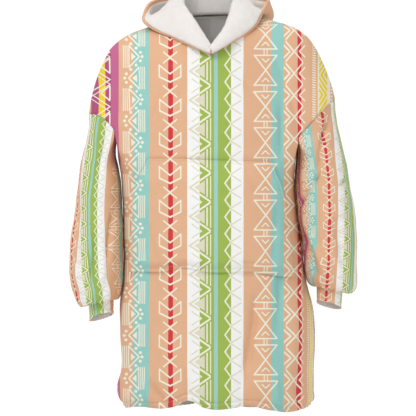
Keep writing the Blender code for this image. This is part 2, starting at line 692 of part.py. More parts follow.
def make_skin():
    """The whole outer skin of body and sleeves, so that the pieces share their seams' normals."""
    cloth = Cloth()
    yoke_columns = spaced([ARM_COLUMNS, FRONT_COLUMNS, ARM_COLUMNS])
    torso_columns = spaced([SIDE_COLUMNS, FRONT_COLUMNS, SIDE_COLUMNS])
    sleeve_columns = spaced([ARM_COLUMNS, SIDE_COLUMNS, SIDE_COLUMNS, ARM_COLUMNS])
    yoke_levels = np.linspace(1, 0, YOKE_ROWS + 1)
    torso_levels = np.linspace(0, 1, TORSO_ROWS + 1)
    sleeve_levels = np.linspace(0, 1, SLEEVE_ROWS + 1)
    for piece, face in (("body_front", -1), ("body_back", 1)):
        cloth.grid(piece, folded(yoke_rows(yoke_columns, yoke_levels, face), face), flip=face > 0)
        cloth.grid(piece, body_rows(torso_columns, torso_levels, face), flip=face > 0)
    for piece, side, table in (("sleeve_left", LEFT, SLEEVE_LEFT), ("sleeve_right", RIGHT, SLEEVE_RIGHT)):
        rows = sleeve_rows(side, table, sleeve_columns, sleeve_levels)
        cloth.grid(piece, rows, flip=side is RIGHT)
    return cloth


def underarm_ids(cloth):
    """The points under each arm, with the step that parts a sleeve from the body there."""
    found = {}
    for side in (LEFT, RIGHT):
        for face in (-1, 1):
            line = split_columns(spaced([SIDE_COLUMNS]), [underarm(side, face)])
            for point in line:
                found[cloth.index[tuple(np.round(point, 7))]] = side.sign
    return found


def make_body():
    cloth = make_skin()
    points = np.array(cloth.points)
    normals = cloth.normals()
    beneath = underarm_ids(cloth)
    for piece, finish in (
        ("body_front", "body"), ("body_back", "body"), ("sleeve_left", "sleeve"), ("sleeve_right", "sleeve"),
    ):
        faces = [face for name, face in cloth.faces if name == piece]
        outward = 1 if finish == "sleeve" else -1
        apart = {v: np.array([outward * sign * SEAM_GAP * SEAM_SHARE, 0, 0]) for v, sign in beneath.items()}
        wall(piece, finish, seam_edges_in(points, faces, apart), normals, faces, 0.0, -BODY_WALL)


def make_cuffs():
    columns = spaced([ARM_COLUMNS, SIDE_COLUMNS, SIDE_COLUMNS, ARM_COLUMNS])[:-1]
    for name, cuff, side, table in (
        ("cuff_left", CUFF_LEFT, LEFT, SLEEVE_LEFT), ("cuff_right", CUFF_RIGHT, RIGHT, SLEEVE_RIGHT),
    ):
        end = sleeve_rows(side, table, columns, [1.0])[0]
        rows = cuff_rows(cuff, end, np.linspace(0, 1, CUFF_ROWS + 1), ring_shares(side, columns))
        cloth = Cloth()
        cloth.grid(name, rows, flip=side is RIGHT, closed=True)
        faces = [face for _, face in cloth.faces]
        wall(name, "cuff", np.array(cloth.points), cloth.normals(), faces, 0.0, -BODY_WALL)


class FrontSurface:
    """Finds the front cloth's point and normal at any width and height."""

    def __init__(self):
        columns = spaced([SIDE_COLUMNS, FRONT_COLUMNS, SIDE_COLUMNS])
        rows = body_rows(columns, np.linspace(0, 1, TORSO_ROWS + 1), -1)
        self.rows = rows
        across = np.gradient(rows, axis=1)
        down = np.gradient(rows, axis=0)
        normal = np.cross(down, across)
        self.normal = normal / np.linalg.norm(normal, axis=2)[:, :, None]

    def at(self, x, z):
        count = len(self.rows)
        place = np.array([np.interp(x, row[:, 0], np.arange(len(row))) for row in self.rows])
        height = np.array([np.interp(place[k], np.arange(len(self.rows[k])), self.rows[k][:, 2])
                           for k in range(count)])
        level = np.interp(-z, -height, np.arange(count))
        column = np.interp(level, np.arange(count), place)
        return self.read(self.rows, level, column), self.read(self.normal, level, column)

    @staticmethod
    def read(grid, level, column):
        i = min(int(level), grid.shape[0] - 2)
        j = min(int(column), grid.shape[1] - 2)
        s, t = level - i, column - j
        upper = grid[i, j] * (1 - t) + grid[i, j + 1] * t
        lower = grid[i + 1, j] * (1 - t) + grid[i + 1, j + 1] * t
        return upper * (1 - s) + lower * s


def pocket_limits(z):
    table = np.array(POCKET_EDGE)
    left = np.interp(-z, -table[:, 0], table[:, 1])
    right = np.interp(-z, -table[:, 0], table[:, 2])
    return -left, right


def pocket_bulge(across, down, z):
    """How far the patch stands off the front: nothing at its seams, most at its hand openings."""
    upper = smoothstep((POCKET_FREE_Z[0] - z) / POCKET_FREE_EASE[0])
    free = upper * smoothstep((z - POCKET_FREE_Z[1]) / POCKET_FREE_EASE[1])
    sewn = 1 - np.abs(2 * across - 1) ** POCKET_SQUARENESS
    sides = sewn + (1 - sewn) * POCKET_MOUTH_SHARE * free
    top, foot = POCKET_END_SHARES
    ends = np.minimum(smoothstep(down / top), smoothstep((1 - down) / foot))
    return POCKET_BULGE * sides * ends


def make_pocket():
    surface = FrontSurface()
    top, bottom = POCKET_EDGE[0].z, POCKET_EDGE[-1].z
    points, normals = [], []
    for down in np.linspace(0, 1, POCKET_ROWS + 1):
        z = top + down * (bottom - top)
        left, right = pocket_limits(z)
        for across in crowded(np.linspace(0, 1, POCKET_COLUMNS + 1)):
            x = left + across * (right - left)
            sag = POCKET_SAG * down * (2 * across - 1) ** 2
            point, normal = surface.at(x, z - sag)
            points.append(point + normal * pocket_bulge(across, down, z))
            normals.append(normal)
    ids = np.arange(len(points)).reshape(POCKET_ROWS + 1, POCKET_COLUMNS + 1)
    faces = [
        [ids[i, j], ids[i + 1, j], ids[i + 1, j + 1], ids[i, j + 1]]
        for i in range(POCKET_ROWS) for j in range(POCKET_COLUMNS)
    ]
    wall("pocket", "pocket", np.array(points), np.array(normals), faces,
         POCKET_STAND_OFF + POCKET_WALL, POCKET_STAND_OFF)


def hood_seam(sign, along):
    """The hood's seam on the neckline: the front half of the way, then the back half."""
    front = neckline_half(sign, -1)[::-1]
    back = neckline_half(sign, 1)
    line = np.vstack([front, back[1:]])
    point = sample(line, along)
    point[:, 2] += HOOD_SEAM_LIFT
    return point


def hood_line(seam, rib, sign):
    """One rib from its seam: the rows up to the roll, those of the lining's fall, then the edge's."""
    cross = np.array([rib.roll, rib.fall, rib.turn, rib.rise, rib.edge])
    cross[:, 0] *= sign
    controls = np.vstack([seam, seam + HOOD_STAND_SHARE * (cross[0] - seam), cross])
    knots = lengths_along(controls)
    stand = curve_at(np.linspace(0, knots[2], DENSE), knots, controls)
    fall = curve_at(np.linspace(knots[2], knots[-1], 4 * DENSE), knots, controls)
    length = lengths_along(fall)[-1]
    band = min(HOOD_EDGE_BAND, HOOD_BAND_LIMIT * length) / length
    up = 1 - np.linspace(1, 0, HOOD_STAND_ROWS + 1)[:-1] ** HOOD_ROLL_CROWDING
    lined = (1 - band) * np.linspace(0, 1, HOOD_FALL_ROWS + 1) ** HOOD_ROLL_CROWDING
    rest = [1 - share * band for share in HOOD_BAND_SHARES]
    return np.vstack([sample(stand, up), sample(fall, np.concatenate([lined, rest]))])


def hood_rows(sign, table, columns):
    """The face between the hood's shell and lining. Columns run from the front tip to the back."""
    along = np.array([rib.along for rib in table])
    seam = hood_seam(sign, along)
    lines = np.array([hood_line(seam[index], rib, sign) for index, rib in enumerate(table)])
    flat = curve_at(columns, along, lines.reshape(len(table), -1))
    grid = flat.reshape(len(columns), -1, 3)
    grid[0, :, 0] = sign * SEAM_GAP
    grid[-1, :, 0] = sign * SEAM_GAP
    grid[:, 0] = hood_seam(sign, columns)
    grid[0, 0, 0] = grid[-1, 0, 0] = sign * SEAM_GAP
    return grid


def directions(grid):
    """The direction of each row of points in a grid, halfway between its two neighbours'."""
    step = np.diff(grid, axis=0)
    step /= np.linalg.norm(step, axis=2)[:, :, None]
    return np.concatenate([step[:1], step[1:] + step[:-1], step[-1:]])


def hood_normals(grid, sign):
    """The directions from the shell towards the lining, level across the middle seam."""
    across = directions(grid)
    along = directions(grid.transpose(1, 0, 2)).transpose(1, 0, 2)
    normal = sign * np.cross(along, across)
    normal /= np.linalg.norm(normal, axis=2)[:, :, None]
    normal[0, :, 0] = normal[-1, :, 0] = 0
    return normal / np.linalg.norm(normal, axis=2)[:, :, None]


def grid_wall(name, finish, grid, normal, outside, inside, flip):
    """A wall on a grid of columns and rows, with its two offsets given for each row."""
    columns, rows = grid.shape[:2]
    ids = np.arange(columns * rows).reshape(columns, rows)
    faces = [
        [ids[i, j], ids[i + 1, j], ids[i + 1, j + 1], ids[i, j + 1]]
        for i in range(columns - 1) for j in range(rows - 1)
    ]
    faces = [face[::-1] for face in faces] if flip else faces
    spread = np.ones((columns, 1))
    wall(name, finish, grid.reshape(-1, 3), normal.reshape(-1, 3), faces,
         (spread * outside).ravel(), (spread * inside).ravel())


def make_hood():
    half = HOOD_LAYER_GAP / 2
    columns = np.linspace(0, 1, HOOD_COLUMNS)
    lined = HOOD_STAND_ROWS + HOOD_FALL_ROWS + 1
    top = np.full(lined + 3, -half)
    top[-2:] = HOOD_LINING_WALL * HOOD_BAND_HEIGHT
    under = np.full(lined + 3, -half - HOOD_SHELL_WALL)
    pile = np.full(lined, half + HOOD_LINING_WALL)
    pile[-1] = HOOD_LINING_WALL * HOOD_BAND_HEIGHT
    underside = np.full(lined, half)
    underside[-2:] += HOOD_LAYER_GAP
    for name, sign, table in (("left", -1, HOOD_LEFT), ("right", 1, HOOD_RIGHT)):
        grid = hood_rows(sign, table, columns)
        normal = hood_normals(grid, sign)
        flip = sign > 0
        grid_wall(f"hood_{name}", "hood", grid, normal, top, under, flip)
        inner, up = grid[:, :lined], normal[:, :lined]
        grid_wall(f"hood_lining_{name}", "hood_lining", inner, up, pile, underside, flip)


def main():
    for obj in list(bpy.data.objects):
        bpy.data.objects.remove(obj, do_unlink=True)
    make_body()
    make_cuffs()
    make_pocket()
    make_hood()


main()
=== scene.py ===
"""Looks of the wearable blanket hoodie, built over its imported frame.

Metres, +Z up. The front faces -Y, and left and right are those of someone who looks at it. Each
piece of cloth is a fine skin on the form that its CAD node has, with creases, seams, stitches and
a print that follows the cloth. The form's tables repeat those that the solids were built from.
"""

import logging
import math
from collections import namedtuple
from collections.abc import Callable, Sequence
from dataclasses import dataclass, field
from enum import Enum

import bmesh
import bpy
import numpy as np
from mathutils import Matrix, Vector, noise

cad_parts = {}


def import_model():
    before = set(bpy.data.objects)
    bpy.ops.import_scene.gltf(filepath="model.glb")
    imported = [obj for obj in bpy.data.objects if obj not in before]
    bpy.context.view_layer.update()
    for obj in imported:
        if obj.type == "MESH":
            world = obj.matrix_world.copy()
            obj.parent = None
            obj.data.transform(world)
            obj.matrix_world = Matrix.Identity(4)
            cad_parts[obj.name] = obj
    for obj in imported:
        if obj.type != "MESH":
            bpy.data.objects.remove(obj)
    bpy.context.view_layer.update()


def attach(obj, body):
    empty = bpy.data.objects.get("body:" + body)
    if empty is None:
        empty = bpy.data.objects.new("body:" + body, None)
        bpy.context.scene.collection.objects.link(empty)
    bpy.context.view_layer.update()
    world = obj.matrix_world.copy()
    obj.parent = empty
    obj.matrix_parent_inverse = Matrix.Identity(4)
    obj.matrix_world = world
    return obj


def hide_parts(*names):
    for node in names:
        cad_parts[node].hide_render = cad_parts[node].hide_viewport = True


LOG = logging.getLogger("blanket_hoodie")

# The cloths' thicknesses and gaps, as in the solids, and the depths of the seams' dips.
BODY_WALL = 0.003
POCKET_WALL = 0.002
HOOD_SHELL_WALL = 0.002
HOOD_LINING_WALL = 0.004
SEAM_GAP = 0.0003
HOOD_LAYER_GAP = 0.0006
HOOD_SEAM_LIFT = 0.0012
HOOD_STAND_ROWS = 12
HOOD_CLOTH_WALL = 0.0008
HOOD_FALL_ROWS = 44
FRONT_CROWDING = 0.06
DENSE = 121
SEAM_DIP = 0.0011
SEAM_WIDTH = 0.0035
ROUGHLY_UNEVEN = 0.0022
FINELY_UNEVEN = 0.0007
POCKET_DIP = 0.0034
POCKET_DIP_WIDTH = 0.0028

# The print's chart: one square of it is this wide, and column 0 is the front's middle line.
CHART_SQUARE = 0.00225
CHART_DISTANCE = 20.0
CHART_MIDDLE = (-0.00675, -0.41175)

# Each piece's flat cut: width and length.
PANEL_CUT = (0.78, 0.95)
POCKET_CUT = (0.40, 0.26)
SLEEVE_CUT = (0.46, 0.46)
CUFF_CUT = (0.23, 0.07)
HOOD_CUT = (0.42, 0.30)

Side = namedtuple("Side", "sign arm_width fork_x fork_y fork_back fork_z middle_x middle_z top_z rise")
LEFT = Side(-1, 0.2745, 0.216, 0.090, 0.086, -0.238, 0.2110, -0.231, -0.200, 2.2)
RIGHT = Side(1, 0.2790, 0.196, 0.096, 0.090, -0.252, 0.1915, -0.244, -0.166, 1.1)

CHEST_FRONT = 0.155
CHEST_BACK = 0.145

# The body below the arms: half-widths and depths of each level, from the origin's axis.
Section = namedtuple("Section", "z left right front back square")
TORSO_SECTIONS = tuple(Section(*row) for row in (
    (-0.245, 0.212, 0.191, 0.156, 0.146, 2.9), (-0.3, 0.209, 0.188, 0.159, 0.148, 2.8),
    (-0.345, 0.203, 0.187, 0.162, 0.149, 2.7), (-0.4, 0.1995, 0.1895, 0.166, 0.15, 2.6),
    (-0.45, 0.1975, 0.196, 0.169, 0.151, 2.5), (-0.495, 0.1968, 0.2035, 0.17, 0.151, 2.5),
    (-0.54, 0.197, 0.209, 0.171, 0.153, 2.4), (-0.585, 0.1995, 0.2165, 0.169, 0.156, 2.4),
    (-0.63, 0.205, 0.228, 0.166, 0.158, 2.4), (-0.7, 0.203, 0.234, 0.164, 0.161, 2.4),
    (-0.78, 0.202, 0.231, 0.166, 0.164, 2.4), (-0.822, 0.211, 0.231, 0.167, 0.165, 2.4),
    (-0.845, 0.204, 0.231, 0.164, 0.162, 2.4), (-0.862, 0.19, 0.216, 0.158, 0.156, 2.3),
))
UNDERARM_BLEND = 0.11

# The line of each shoulder from the neck out and down to the armhole's top.
Outline = namedtuple("Outline", "x z")
SHOULDER_LEFT = tuple(Outline(*row) for row in (
    (0.092, 0.006), (0.12, 0.001), (0.15, -0.009), (0.186, -0.022), (0.209, -0.037), (0.226, -0.053),
    (0.24, -0.079), (0.252, -0.106), (0.2625, -0.138), (0.2705, -0.17), (0.2745, -0.2),
))
SHOULDER_RIGHT = tuple(Outline(*row) for row in (
    (0.095, 0.016), (0.118, 0.014), (0.142, 0.009), (0.17, 0.001), (0.198, -0.011), (0.216, -0.025),
    (0.236, -0.052), (0.25, -0.079), (0.262, -0.108), (0.273, -0.14), (0.279, -0.166),
))

# Half of the neckline, from the side of the neck to the middle of the front and of the back.
Point = namedtuple("Point", "x y z")
NECK_FRONT = tuple(Point(*row) for row in (
    (0.092, 0.0, 0.006), (0.087, -0.038, -0.004), (0.068, -0.084, -0.02), (0.036, -0.119, -0.043),
    (0.0, -0.134, -0.068),
))
NECK_BACK = tuple(Point(*row) for row in (
    (0.092, 0.0, 0.006), (0.084, 0.036, 0.013), (0.048, 0.069, 0.02), (0.0, 0.079, 0.023),
))
NECK_RIGHT_LIFT = 0.01
NECK_RIGHT_WIDER = 0.003

# The hem's height along the front and along the back.
HEM_FRONT = tuple(Outline(*row) for row in (
    (-0.19, -0.861), (-0.171, -0.857), (-0.15, -0.856), (-0.128, -0.859), (-0.1, -0.859),
    (-0.081, -0.855), (-0.06, -0.845), (-0.041, -0.844), (-0.018, -0.857), (0.008, -0.862),
    (0.045, -0.86), (0.074, -0.855), (0.095, -0.855), (0.118, -0.861), (0.144, -0.866), (0.17, -0.869),
    (0.192, -0.866), (0.214, -0.86),
))
HEM_BACK = tuple(Outline(*row) for row in (
    (-0.19, -0.861), (-0.14, -0.855), (-0.095, -0.861), (-0.05, -0.857), (-0.005, -0.848),
    (0.04, -0.854), (0.085, -0.863), (0.13, -0.858), (0.17, -0.855), (0.214, -0.86),
))

# Each level of a sleeve: its inner and outer side, its front and back, and how far its outer
# side hangs below its inner side. The last rows turn in and up to the cuff's seam.
Level = namedtuple("Level", "z inner outer front back drop")
SLEEVE_LEFT = tuple(Level(*row) for row in (
    (-0.222, 0.211, 0.276, -0.089, 0.084, 0.0), (-0.285, 0.215, 0.289, -0.09, 0.082, 0.0),
    (-0.325, 0.21, 0.2955, -0.091, 0.079, 0.0), (-0.365, 0.2058, 0.2985, -0.092, 0.075, 0.0),
    (-0.41, 0.203, 0.305, -0.095, 0.07, 0.0), (-0.455, 0.2015, 0.312, -0.099, 0.065, 0.0),
    (-0.5, 0.201, 0.3165, -0.103, 0.061, 0.002), (-0.545, 0.201, 0.317, -0.106, 0.056, 0.005),
    (-0.58, 0.203, 0.312, -0.105, 0.05, 0.01), (-0.604, 0.208, 0.301, -0.099, 0.04, 0.016),
    (-0.615, 0.213, 0.29, -0.09, 0.028, 0.018), (-0.611, 0.2158, 0.282, -0.082, 0.016, 0.014),
    (-0.6, 0.218, 0.2765, -0.076, 0.006, 0.008),
))
SLEEVE_RIGHT = tuple(Level(*row) for row in (
    (-0.22, 0.1935, 0.287, -0.095, 0.088, 0.0), (-0.295, 0.1925, 0.3015, -0.097, 0.086, 0.0),
    (-0.345, 0.1915, 0.311, -0.099, 0.083, 0.0), (-0.395, 0.1935, 0.3195, -0.103, 0.079, 0.0),
    (-0.44, 0.1985, 0.3255, -0.107, 0.074, 0.0), (-0.485, 0.2055, 0.328, -0.11, 0.069, 0.002),
    (-0.525, 0.2115, 0.3265, -0.111, 0.064, 0.005), (-0.556, 0.216, 0.327, -0.109, 0.057, 0.01),
    (-0.575, 0.221, 0.324, -0.103, 0.048, 0.016), (-0.585, 0.2285, 0.314, -0.094, 0.036, 0.018),
    (-0.583, 0.2345, 0.303, -0.084, 0.02, 0.014), (-0.572, 0.2365, 0.2975, -0.078, 0.008, 0.008),
))
SLEEVE_SQUARE = 2.2
SLEEVE_BLEND = 0.22
GATHERS = 7
GATHER_DEPTH = 0.0035
GATHER_START = 0.62

# The cuffs: how far each runs on from the sleeve's end, and how its lower edge is set.
Cuff = namedtuple("Cuff", "side inner outer front back z drop tip")
CUFF_LEFT = Cuff(-1, 0.219, 0.2735, -0.077, -0.002, -0.642, 0.016, 0.006)
CUFF_RIGHT = Cuff(1, 0.2375, 0.2925, -0.08, 0.0, -0.617, 0.014, 0.006)

# Soft folds of the front and back: a trough or a ridge from one end to the other.
Fold = namedtuple("Fold", "face x0 z0 x1 z1 width depth")
FOLDS = tuple(Fold(*row) for row in (
    (-1, 0.099, -0.615, 0.076, -0.8, 0.026, -0.008), (-1, 0.128, -0.64, 0.118, -0.82, 0.03, 0.005),
    (-1, 0.154, -0.56, 0.15, -0.69, 0.026, -0.006),
    (-1, 0.158, -0.17, 0.154, -0.3, 0.024, -0.006), (-1, 0.178, -0.1, 0.172, -0.24, 0.028, 0.0045),
    (-1, -0.15, -0.79, -0.105, -0.85, 0.022, -0.005),
    (-1, -0.185, -0.64, -0.16, -0.78, 0.026, 0.0045),
    (-1, -0.06, -0.62, -0.055, -0.85, 0.04, 0.0035),
    (1, -0.12, -0.3, -0.1, -0.7, 0.034, -0.007),
    (1, -0.055, -0.42, -0.04, -0.84, 0.036, 0.006), (1, 0.04, -0.36, 0.03, -0.76, 0.034, -0.0065),
    (1, 0.11, -0.3, 0.125, -0.8, 0.036, 0.006), (1, 0.165, -0.26, 0.15, -0.64, 0.028, -0.006),
    (1, -0.17, -0.24, -0.165, -0.56, 0.028, 0.005),
))

# The pocket patch: half-widths at each height, measured from its own middle line.
Patch = namedtuple("Patch", "z left right")
POCKET_EDGE = tuple(Patch(*row) for row in (
    (-0.305, 0.14, 0.138), (-0.318, 0.146, 0.142), (-0.36, 0.162, 0.152), (-0.405, 0.174, 0.162),
    (-0.44, 0.178, 0.17), (-0.47, 0.179, 0.178), (-0.556, 0.181, 0.186),
))
POCKET_SAG = 0.005
POCKET_STAND_OFF = 0.0009
POCKET_BULGE = 0.011
POCKET_FREE_Z = (-0.318, -0.44)

# The hood's half, from the tip at the middle of the front round to the middle of the back.
# Each row crosses the cloth: the roll, the fall, the turn of the pouch, its rise, and the edge.
Rib = namedtuple("Rib", "along roll fall turn rise edge")
HOOD_LEFT = (
    Rib(0.0, Point(0.001, -0.1395, -0.059), Point(0.0012, -0.1425, -0.06),
        Point(0.0014, -0.144, -0.0622), Point(0.0016, -0.1446, -0.0645), Point(0.0018, -0.145, -0.067)),
    Rib(0.15, Point(0.0203, -0.126, -0.0293), Point(0.027, -0.133, -0.0325),
        Point(0.0335, -0.135, -0.038), Point(0.0405, -0.1335, -0.043), Point(0.0473, -0.13, -0.0475)),
    Rib(0.28, Point(0.038, -0.104, 0.0), Point(0.05, -0.108, -0.005),
        Point(0.062, -0.106, -0.0135), Point(0.075, -0.1, -0.0215), Point(0.0878, -0.092, -0.0293)),
    Rib(0.4, Point(0.054, -0.07, 0.0248), Point(0.072, -0.072, 0.018),
        Point(0.091, -0.069, 0.006), Point(0.109, -0.062, -0.004), Point(0.126, -0.053, -0.0125)),
    Rib(0.5, Point(0.063, -0.037, 0.038), Point(0.085, -0.036, 0.031),
        Point(0.108, -0.032, 0.018), Point(0.13, -0.024, 0.009), Point(0.1505, -0.015, 0.0055)),
    Rib(0.61, Point(0.0665, 0.0, 0.054), Point(0.09, 0.005, 0.044),
        Point(0.12, 0.016, 0.02), Point(0.142, 0.027, 0.016), Point(0.1515, 0.033, 0.026)),
    Rib(0.74, Point(0.06, 0.045, 0.08), Point(0.084, 0.066, 0.055),
        Point(0.115, 0.117, -0.019), Point(0.139, 0.125, 0.008), Point(0.134, 0.102, 0.054)),
    Rib(0.87, Point(0.035, 0.074, 0.093), Point(0.048, 0.102, 0.06),
        Point(0.07, 0.156, -0.085), Point(0.088, 0.193, -0.022), Point(0.083, 0.16, 0.068)),
    Rib(1.0, Point(0.0, 0.084, 0.098), Point(0.0, 0.113, 0.062),
        Point(0.0, 0.17, -0.102), Point(0.0, 0.213, -0.03), Point(0.0, 0.18, 0.074)),
)
HOOD_RIGHT = (
    HOOD_LEFT[0],
    Rib(0.15, Point(0.018, -0.126, -0.034), Point(0.024, -0.133, -0.036),
        Point(0.03, -0.135, -0.039), Point(0.0365, -0.1335, -0.0415), Point(0.0425, -0.13, -0.0435)),
    Rib(0.28, Point(0.034, -0.104, -0.0115), Point(0.0435, -0.108, -0.0115),
        Point(0.054, -0.107, -0.015), Point(0.065, -0.102, -0.0195), Point(0.076, -0.095, -0.023)),
    Rib(0.4, Point(0.0455, -0.072, 0.017), Point(0.059, -0.075, 0.015),
        Point(0.074, -0.074, 0.009), Point(0.0885, -0.07, 0.002), Point(0.1005, -0.064, -0.0025)),
    Rib(0.5, Point(0.0515, -0.037, 0.04), Point(0.068, -0.039, 0.037),
        Point(0.086, -0.039, 0.029), Point(0.101, -0.037, 0.021), Point(0.1115, -0.034, 0.016)),
    Rib(0.61, Point(0.056, 0.0, 0.056), Point(0.076, 0.004, 0.05),
        Point(0.104, 0.014, 0.03), Point(0.1255, 0.024, 0.027), Point(0.1235, 0.029, 0.048)),
    Rib(0.74, Point(0.054, 0.045, 0.08), Point(0.078, 0.066, 0.056),
        Point(0.112, 0.118, -0.016), Point(0.136, 0.125, 0.013), Point(0.127, 0.102, 0.06)),
    Rib(0.87, Point(0.033, 0.074, 0.093), Point(0.046, 0.102, 0.06),
        Point(0.068, 0.156, -0.085), Point(0.085, 0.193, -0.022), Point(0.078, 0.16, 0.069)),
    HOOD_LEFT[-1],
)
HOOD_EDGE_BAND = 0.0055
HOOD_STAND_SHARE = 0.55
HOOD_ROLL_CROWDING = 1.4
HOOD_BAND_HEIGHT = 0.6
HOOD_BAND_SHARES = (0.8, 0.66, 0.44, 0.22, 0.0)

# Where the band curls over the pile: rows back from the band, and the height against its own.
HOOD_BAND_CURL = ((0, 1.05), (1, 1.75), (2, 1.95), (2, 1.6))

# The pile's thickness on its last rows, against the full one, where it thins out at the band.
HOOD_PILE_TAPER = (0.92, 0.80, 0.62)


def smoothstep(value: np.ndarray | float) -> np.ndarray:
    """A value from 0 to 1, eased at both ends."""
    value = np.clip(value, 0.0, 1.0)
    return value * value * (3 - 2 * value)


def curve_at(at: Sequence[float], knots: np.ndarray, values: np.ndarray) -> np.ndarray:
    """Points of a smooth curve through `values`, which lie at the rising `knots`.

    Args:
        at: Where to read the curve.
        knots: The rising places of the known points.
        values: The known points.

    Returns:
        One point for each place.
    """
    knots = np.asarray(knots, float)
    values = np.asarray(values, float)
    slopes = np.gradient(values, knots, axis=0)
    at = np.clip(np.asarray(at, float), knots[0], knots[-1])
    low = np.clip(np.searchsorted(knots, at, side="right") - 1, 0, len(knots) - 2)
    step = knots[low + 1] - knots[low]
    t = (at - knots[low]) / step
    if values.ndim > 1:
        t, step = t[:, None], step[:, None]
    start = values[low] * (2 * t**3 - 3 * t**2 + 1) + slopes[low] * step * (t**3 - 2 * t**2 + t)
    end = values[low + 1] * (3 * t**2 - 2 * t**3) + slopes[low + 1] * step * (t**3 - t**2)
    return start + end


def lengths_along(points: np.ndarray) -> np.ndarray:
    """The length of a line of points up to each of them."""
    steps = np.linalg.norm(np.diff(points, axis=0), axis=1)
    return np.concatenate([[0.0], np.cumsum(steps)])


def curve_through(points: Sequence[Sequence[float]]) -> np.ndarray:
    """A dense curve through a few points.

    Args:
        points: The few points, in order.

    Returns:
        DENSE points of the curve.
    """
    points = np.asarray(points, float)
    knots = lengths_along(points)
    return curve_at(np.linspace(0, knots[-1], DENSE), knots, points)


def sample(points: np.ndarray, shares: np.ndarray) -> np.ndarray:
    """Points at the given shares, 0 to 1, of a dense curve's length.

    Args:
        points: The dense curve.
        shares: Shares of its length.

    Returns:
        One point for each share.
    """
    length = lengths_along(points)
    at = np.asarray(shares, float) * length[-1]
    return np.stack([np.interp(at, length, points[:, k]) for k in range(3)], axis=1)


def power(value: np.ndarray, exponent: float) -> np.ndarray:
    """A power that keeps the sign of its value."""
    return np.sign(value) * np.abs(value) ** exponent


def side_of(x: float) -> Side:
    """The arm side that a width lies on."""
    return LEFT if x < 0 else RIGHT


# The yoke's lower edge. Columns are numbered 0 to 3 along the front, or the back: 0 and 3 are the
# armholes' tops, and 1 and 2 are the forks, where the sleeve, the yoke and the body meet.


def fork(side: Side, face: int) -> np.ndarray:
    """Where the sleeve, the yoke and the body meet."""
    y = side.fork_y if face < 0 else side.fork_back
    return np.array([side.sign * side.fork_x, face * y, side.fork_z])


def chest_arc(face: int) -> np.ndarray:
    """The level line across the chest or the back from the left fork to the right one.

    Args:
        face: -1 for the front, 1 for the back.

    Returns:
        DENSE points of the line.
    """
    start, end = fork(LEFT, face), fork(RIGHT, face)
    depth = CHEST_FRONT if face < 0 else CHEST_BACK
    turn = np.linspace(-1, 1, DENSE)
    bow = (1 - np.abs(turn) ** 2.3) ** 0.9
    share = (turn + 1) / 2
    line = start + share[:, None] * (end - start)
    line[:, 1] += face * (depth - abs(line[:, 1])) * bow
    return line


def armhole_arc(side: Side, face: int) -> np.ndarray:
    """The armhole's seam over the arm, from its top to the fork.

    Args:
        side: The arm side.
        face: -1 for the front, 1 for the back.

    Returns:
        DENSE points of the seam.
    """
    low = fork(side, face)
    angle = np.linspace(0, np.pi / 2, DENSE)
    out = np.cos(angle) ** 0.9
    x = side.fork_x + (side.arm_width - side.fork_x) * out
    y = abs(low[1]) * np.sin(angle)
    z = side.fork_z + (side.top_z - side.fork_z) * (1 - (1 - out) ** side.rise)
    return np.stack([side.sign * x, face * y, z], axis=1)


def underarm(side: Side, face: int) -> np.ndarray:
    """Half of the line under the arm, from the side seam to the fork.

    Args:
        side: The arm side.
        face: -1 for the front, 1 for the back.

    Returns:
        DENSE points of the line.
    """
    middle = np.array([side.sign * side.middle_x, 0.0, side.middle_z])
    share = np.linspace(0, 1, DENSE)[:, None]
    line = middle + share * (fork(side, face) - middle)
    line[:, 0] = middle[0] + (share[:, 0] ** 2) * (fork(side, face)[0] - middle[0])
    return line


def split_columns(columns: np.ndarray, parts: list[np.ndarray]) -> np.ndarray:
    """Samples part k of a line for columns k to k + 1.

    Args:
        columns: Column numbers.
        parts: The line's parts, each a dense curve.

    Returns:
        One point for each column.
    """
    points = np.zeros((len(columns), 3))
    last = len(parts) - 1
    for index, part in enumerate(parts):
        inside = (columns >= index) & ((columns < index + 1) | (index == last))
        points[inside] = sample(part, columns[inside] - index)
    return points


def yoke_edge(columns: np.ndarray, face: int) -> np.ndarray:
    """The yoke's lower edge."""
    return split_columns(
        columns, [armhole_arc(LEFT, face), chest_arc(face), armhole_arc(RIGHT, face)[::-1]]
    )


def torso_top(columns: np.ndarray, face: int) -> np.ndarray:
    """The top of the body below the arms."""
    return split_columns(
        columns, [underarm(LEFT, face), chest_arc(face), underarm(RIGHT, face)[::-1]]
    )


def neckline_half(sign: int, face: int) -> np.ndarray:
    """Half of the neckline as a dense curve, from the side of the neck to the middle.

    Args:
        sign: -1 for the left half, 1 for the right one.
        face: -1 for the front, 1 for the back.

    Returns:
        DENSE points of the neckline.
    """
    table = np.array(NECK_FRONT if face < 0 else NECK_BACK)
    if sign > 0:
        share = np.linspace(1, 0, len(table))
        table[:, 2] += NECK_RIGHT_LIFT * share
        table[:, 0] += NECK_RIGHT_WIDER * share
    line = curve_through(table)
    line[:, 0] *= sign
    return line


def neckline(shares: np.ndarray, face: int) -> np.ndarray:
    """The front or back neckline, where share 0 is the left side, 0.5 the middle, 1 the right.

    Args:
        shares: Shares of the way from left to right.
        face: -1 for the front, 1 for the back.

    Returns:
        One point for each share.
    """
    left = sample(neckline_half(-1, face), np.clip(shares * 2, 0, 1))
    right = sample(neckline_half(1, face), np.clip(2 - shares * 2, 0, 1))
    return np.where((shares <= 0.5)[:, None], left, right)


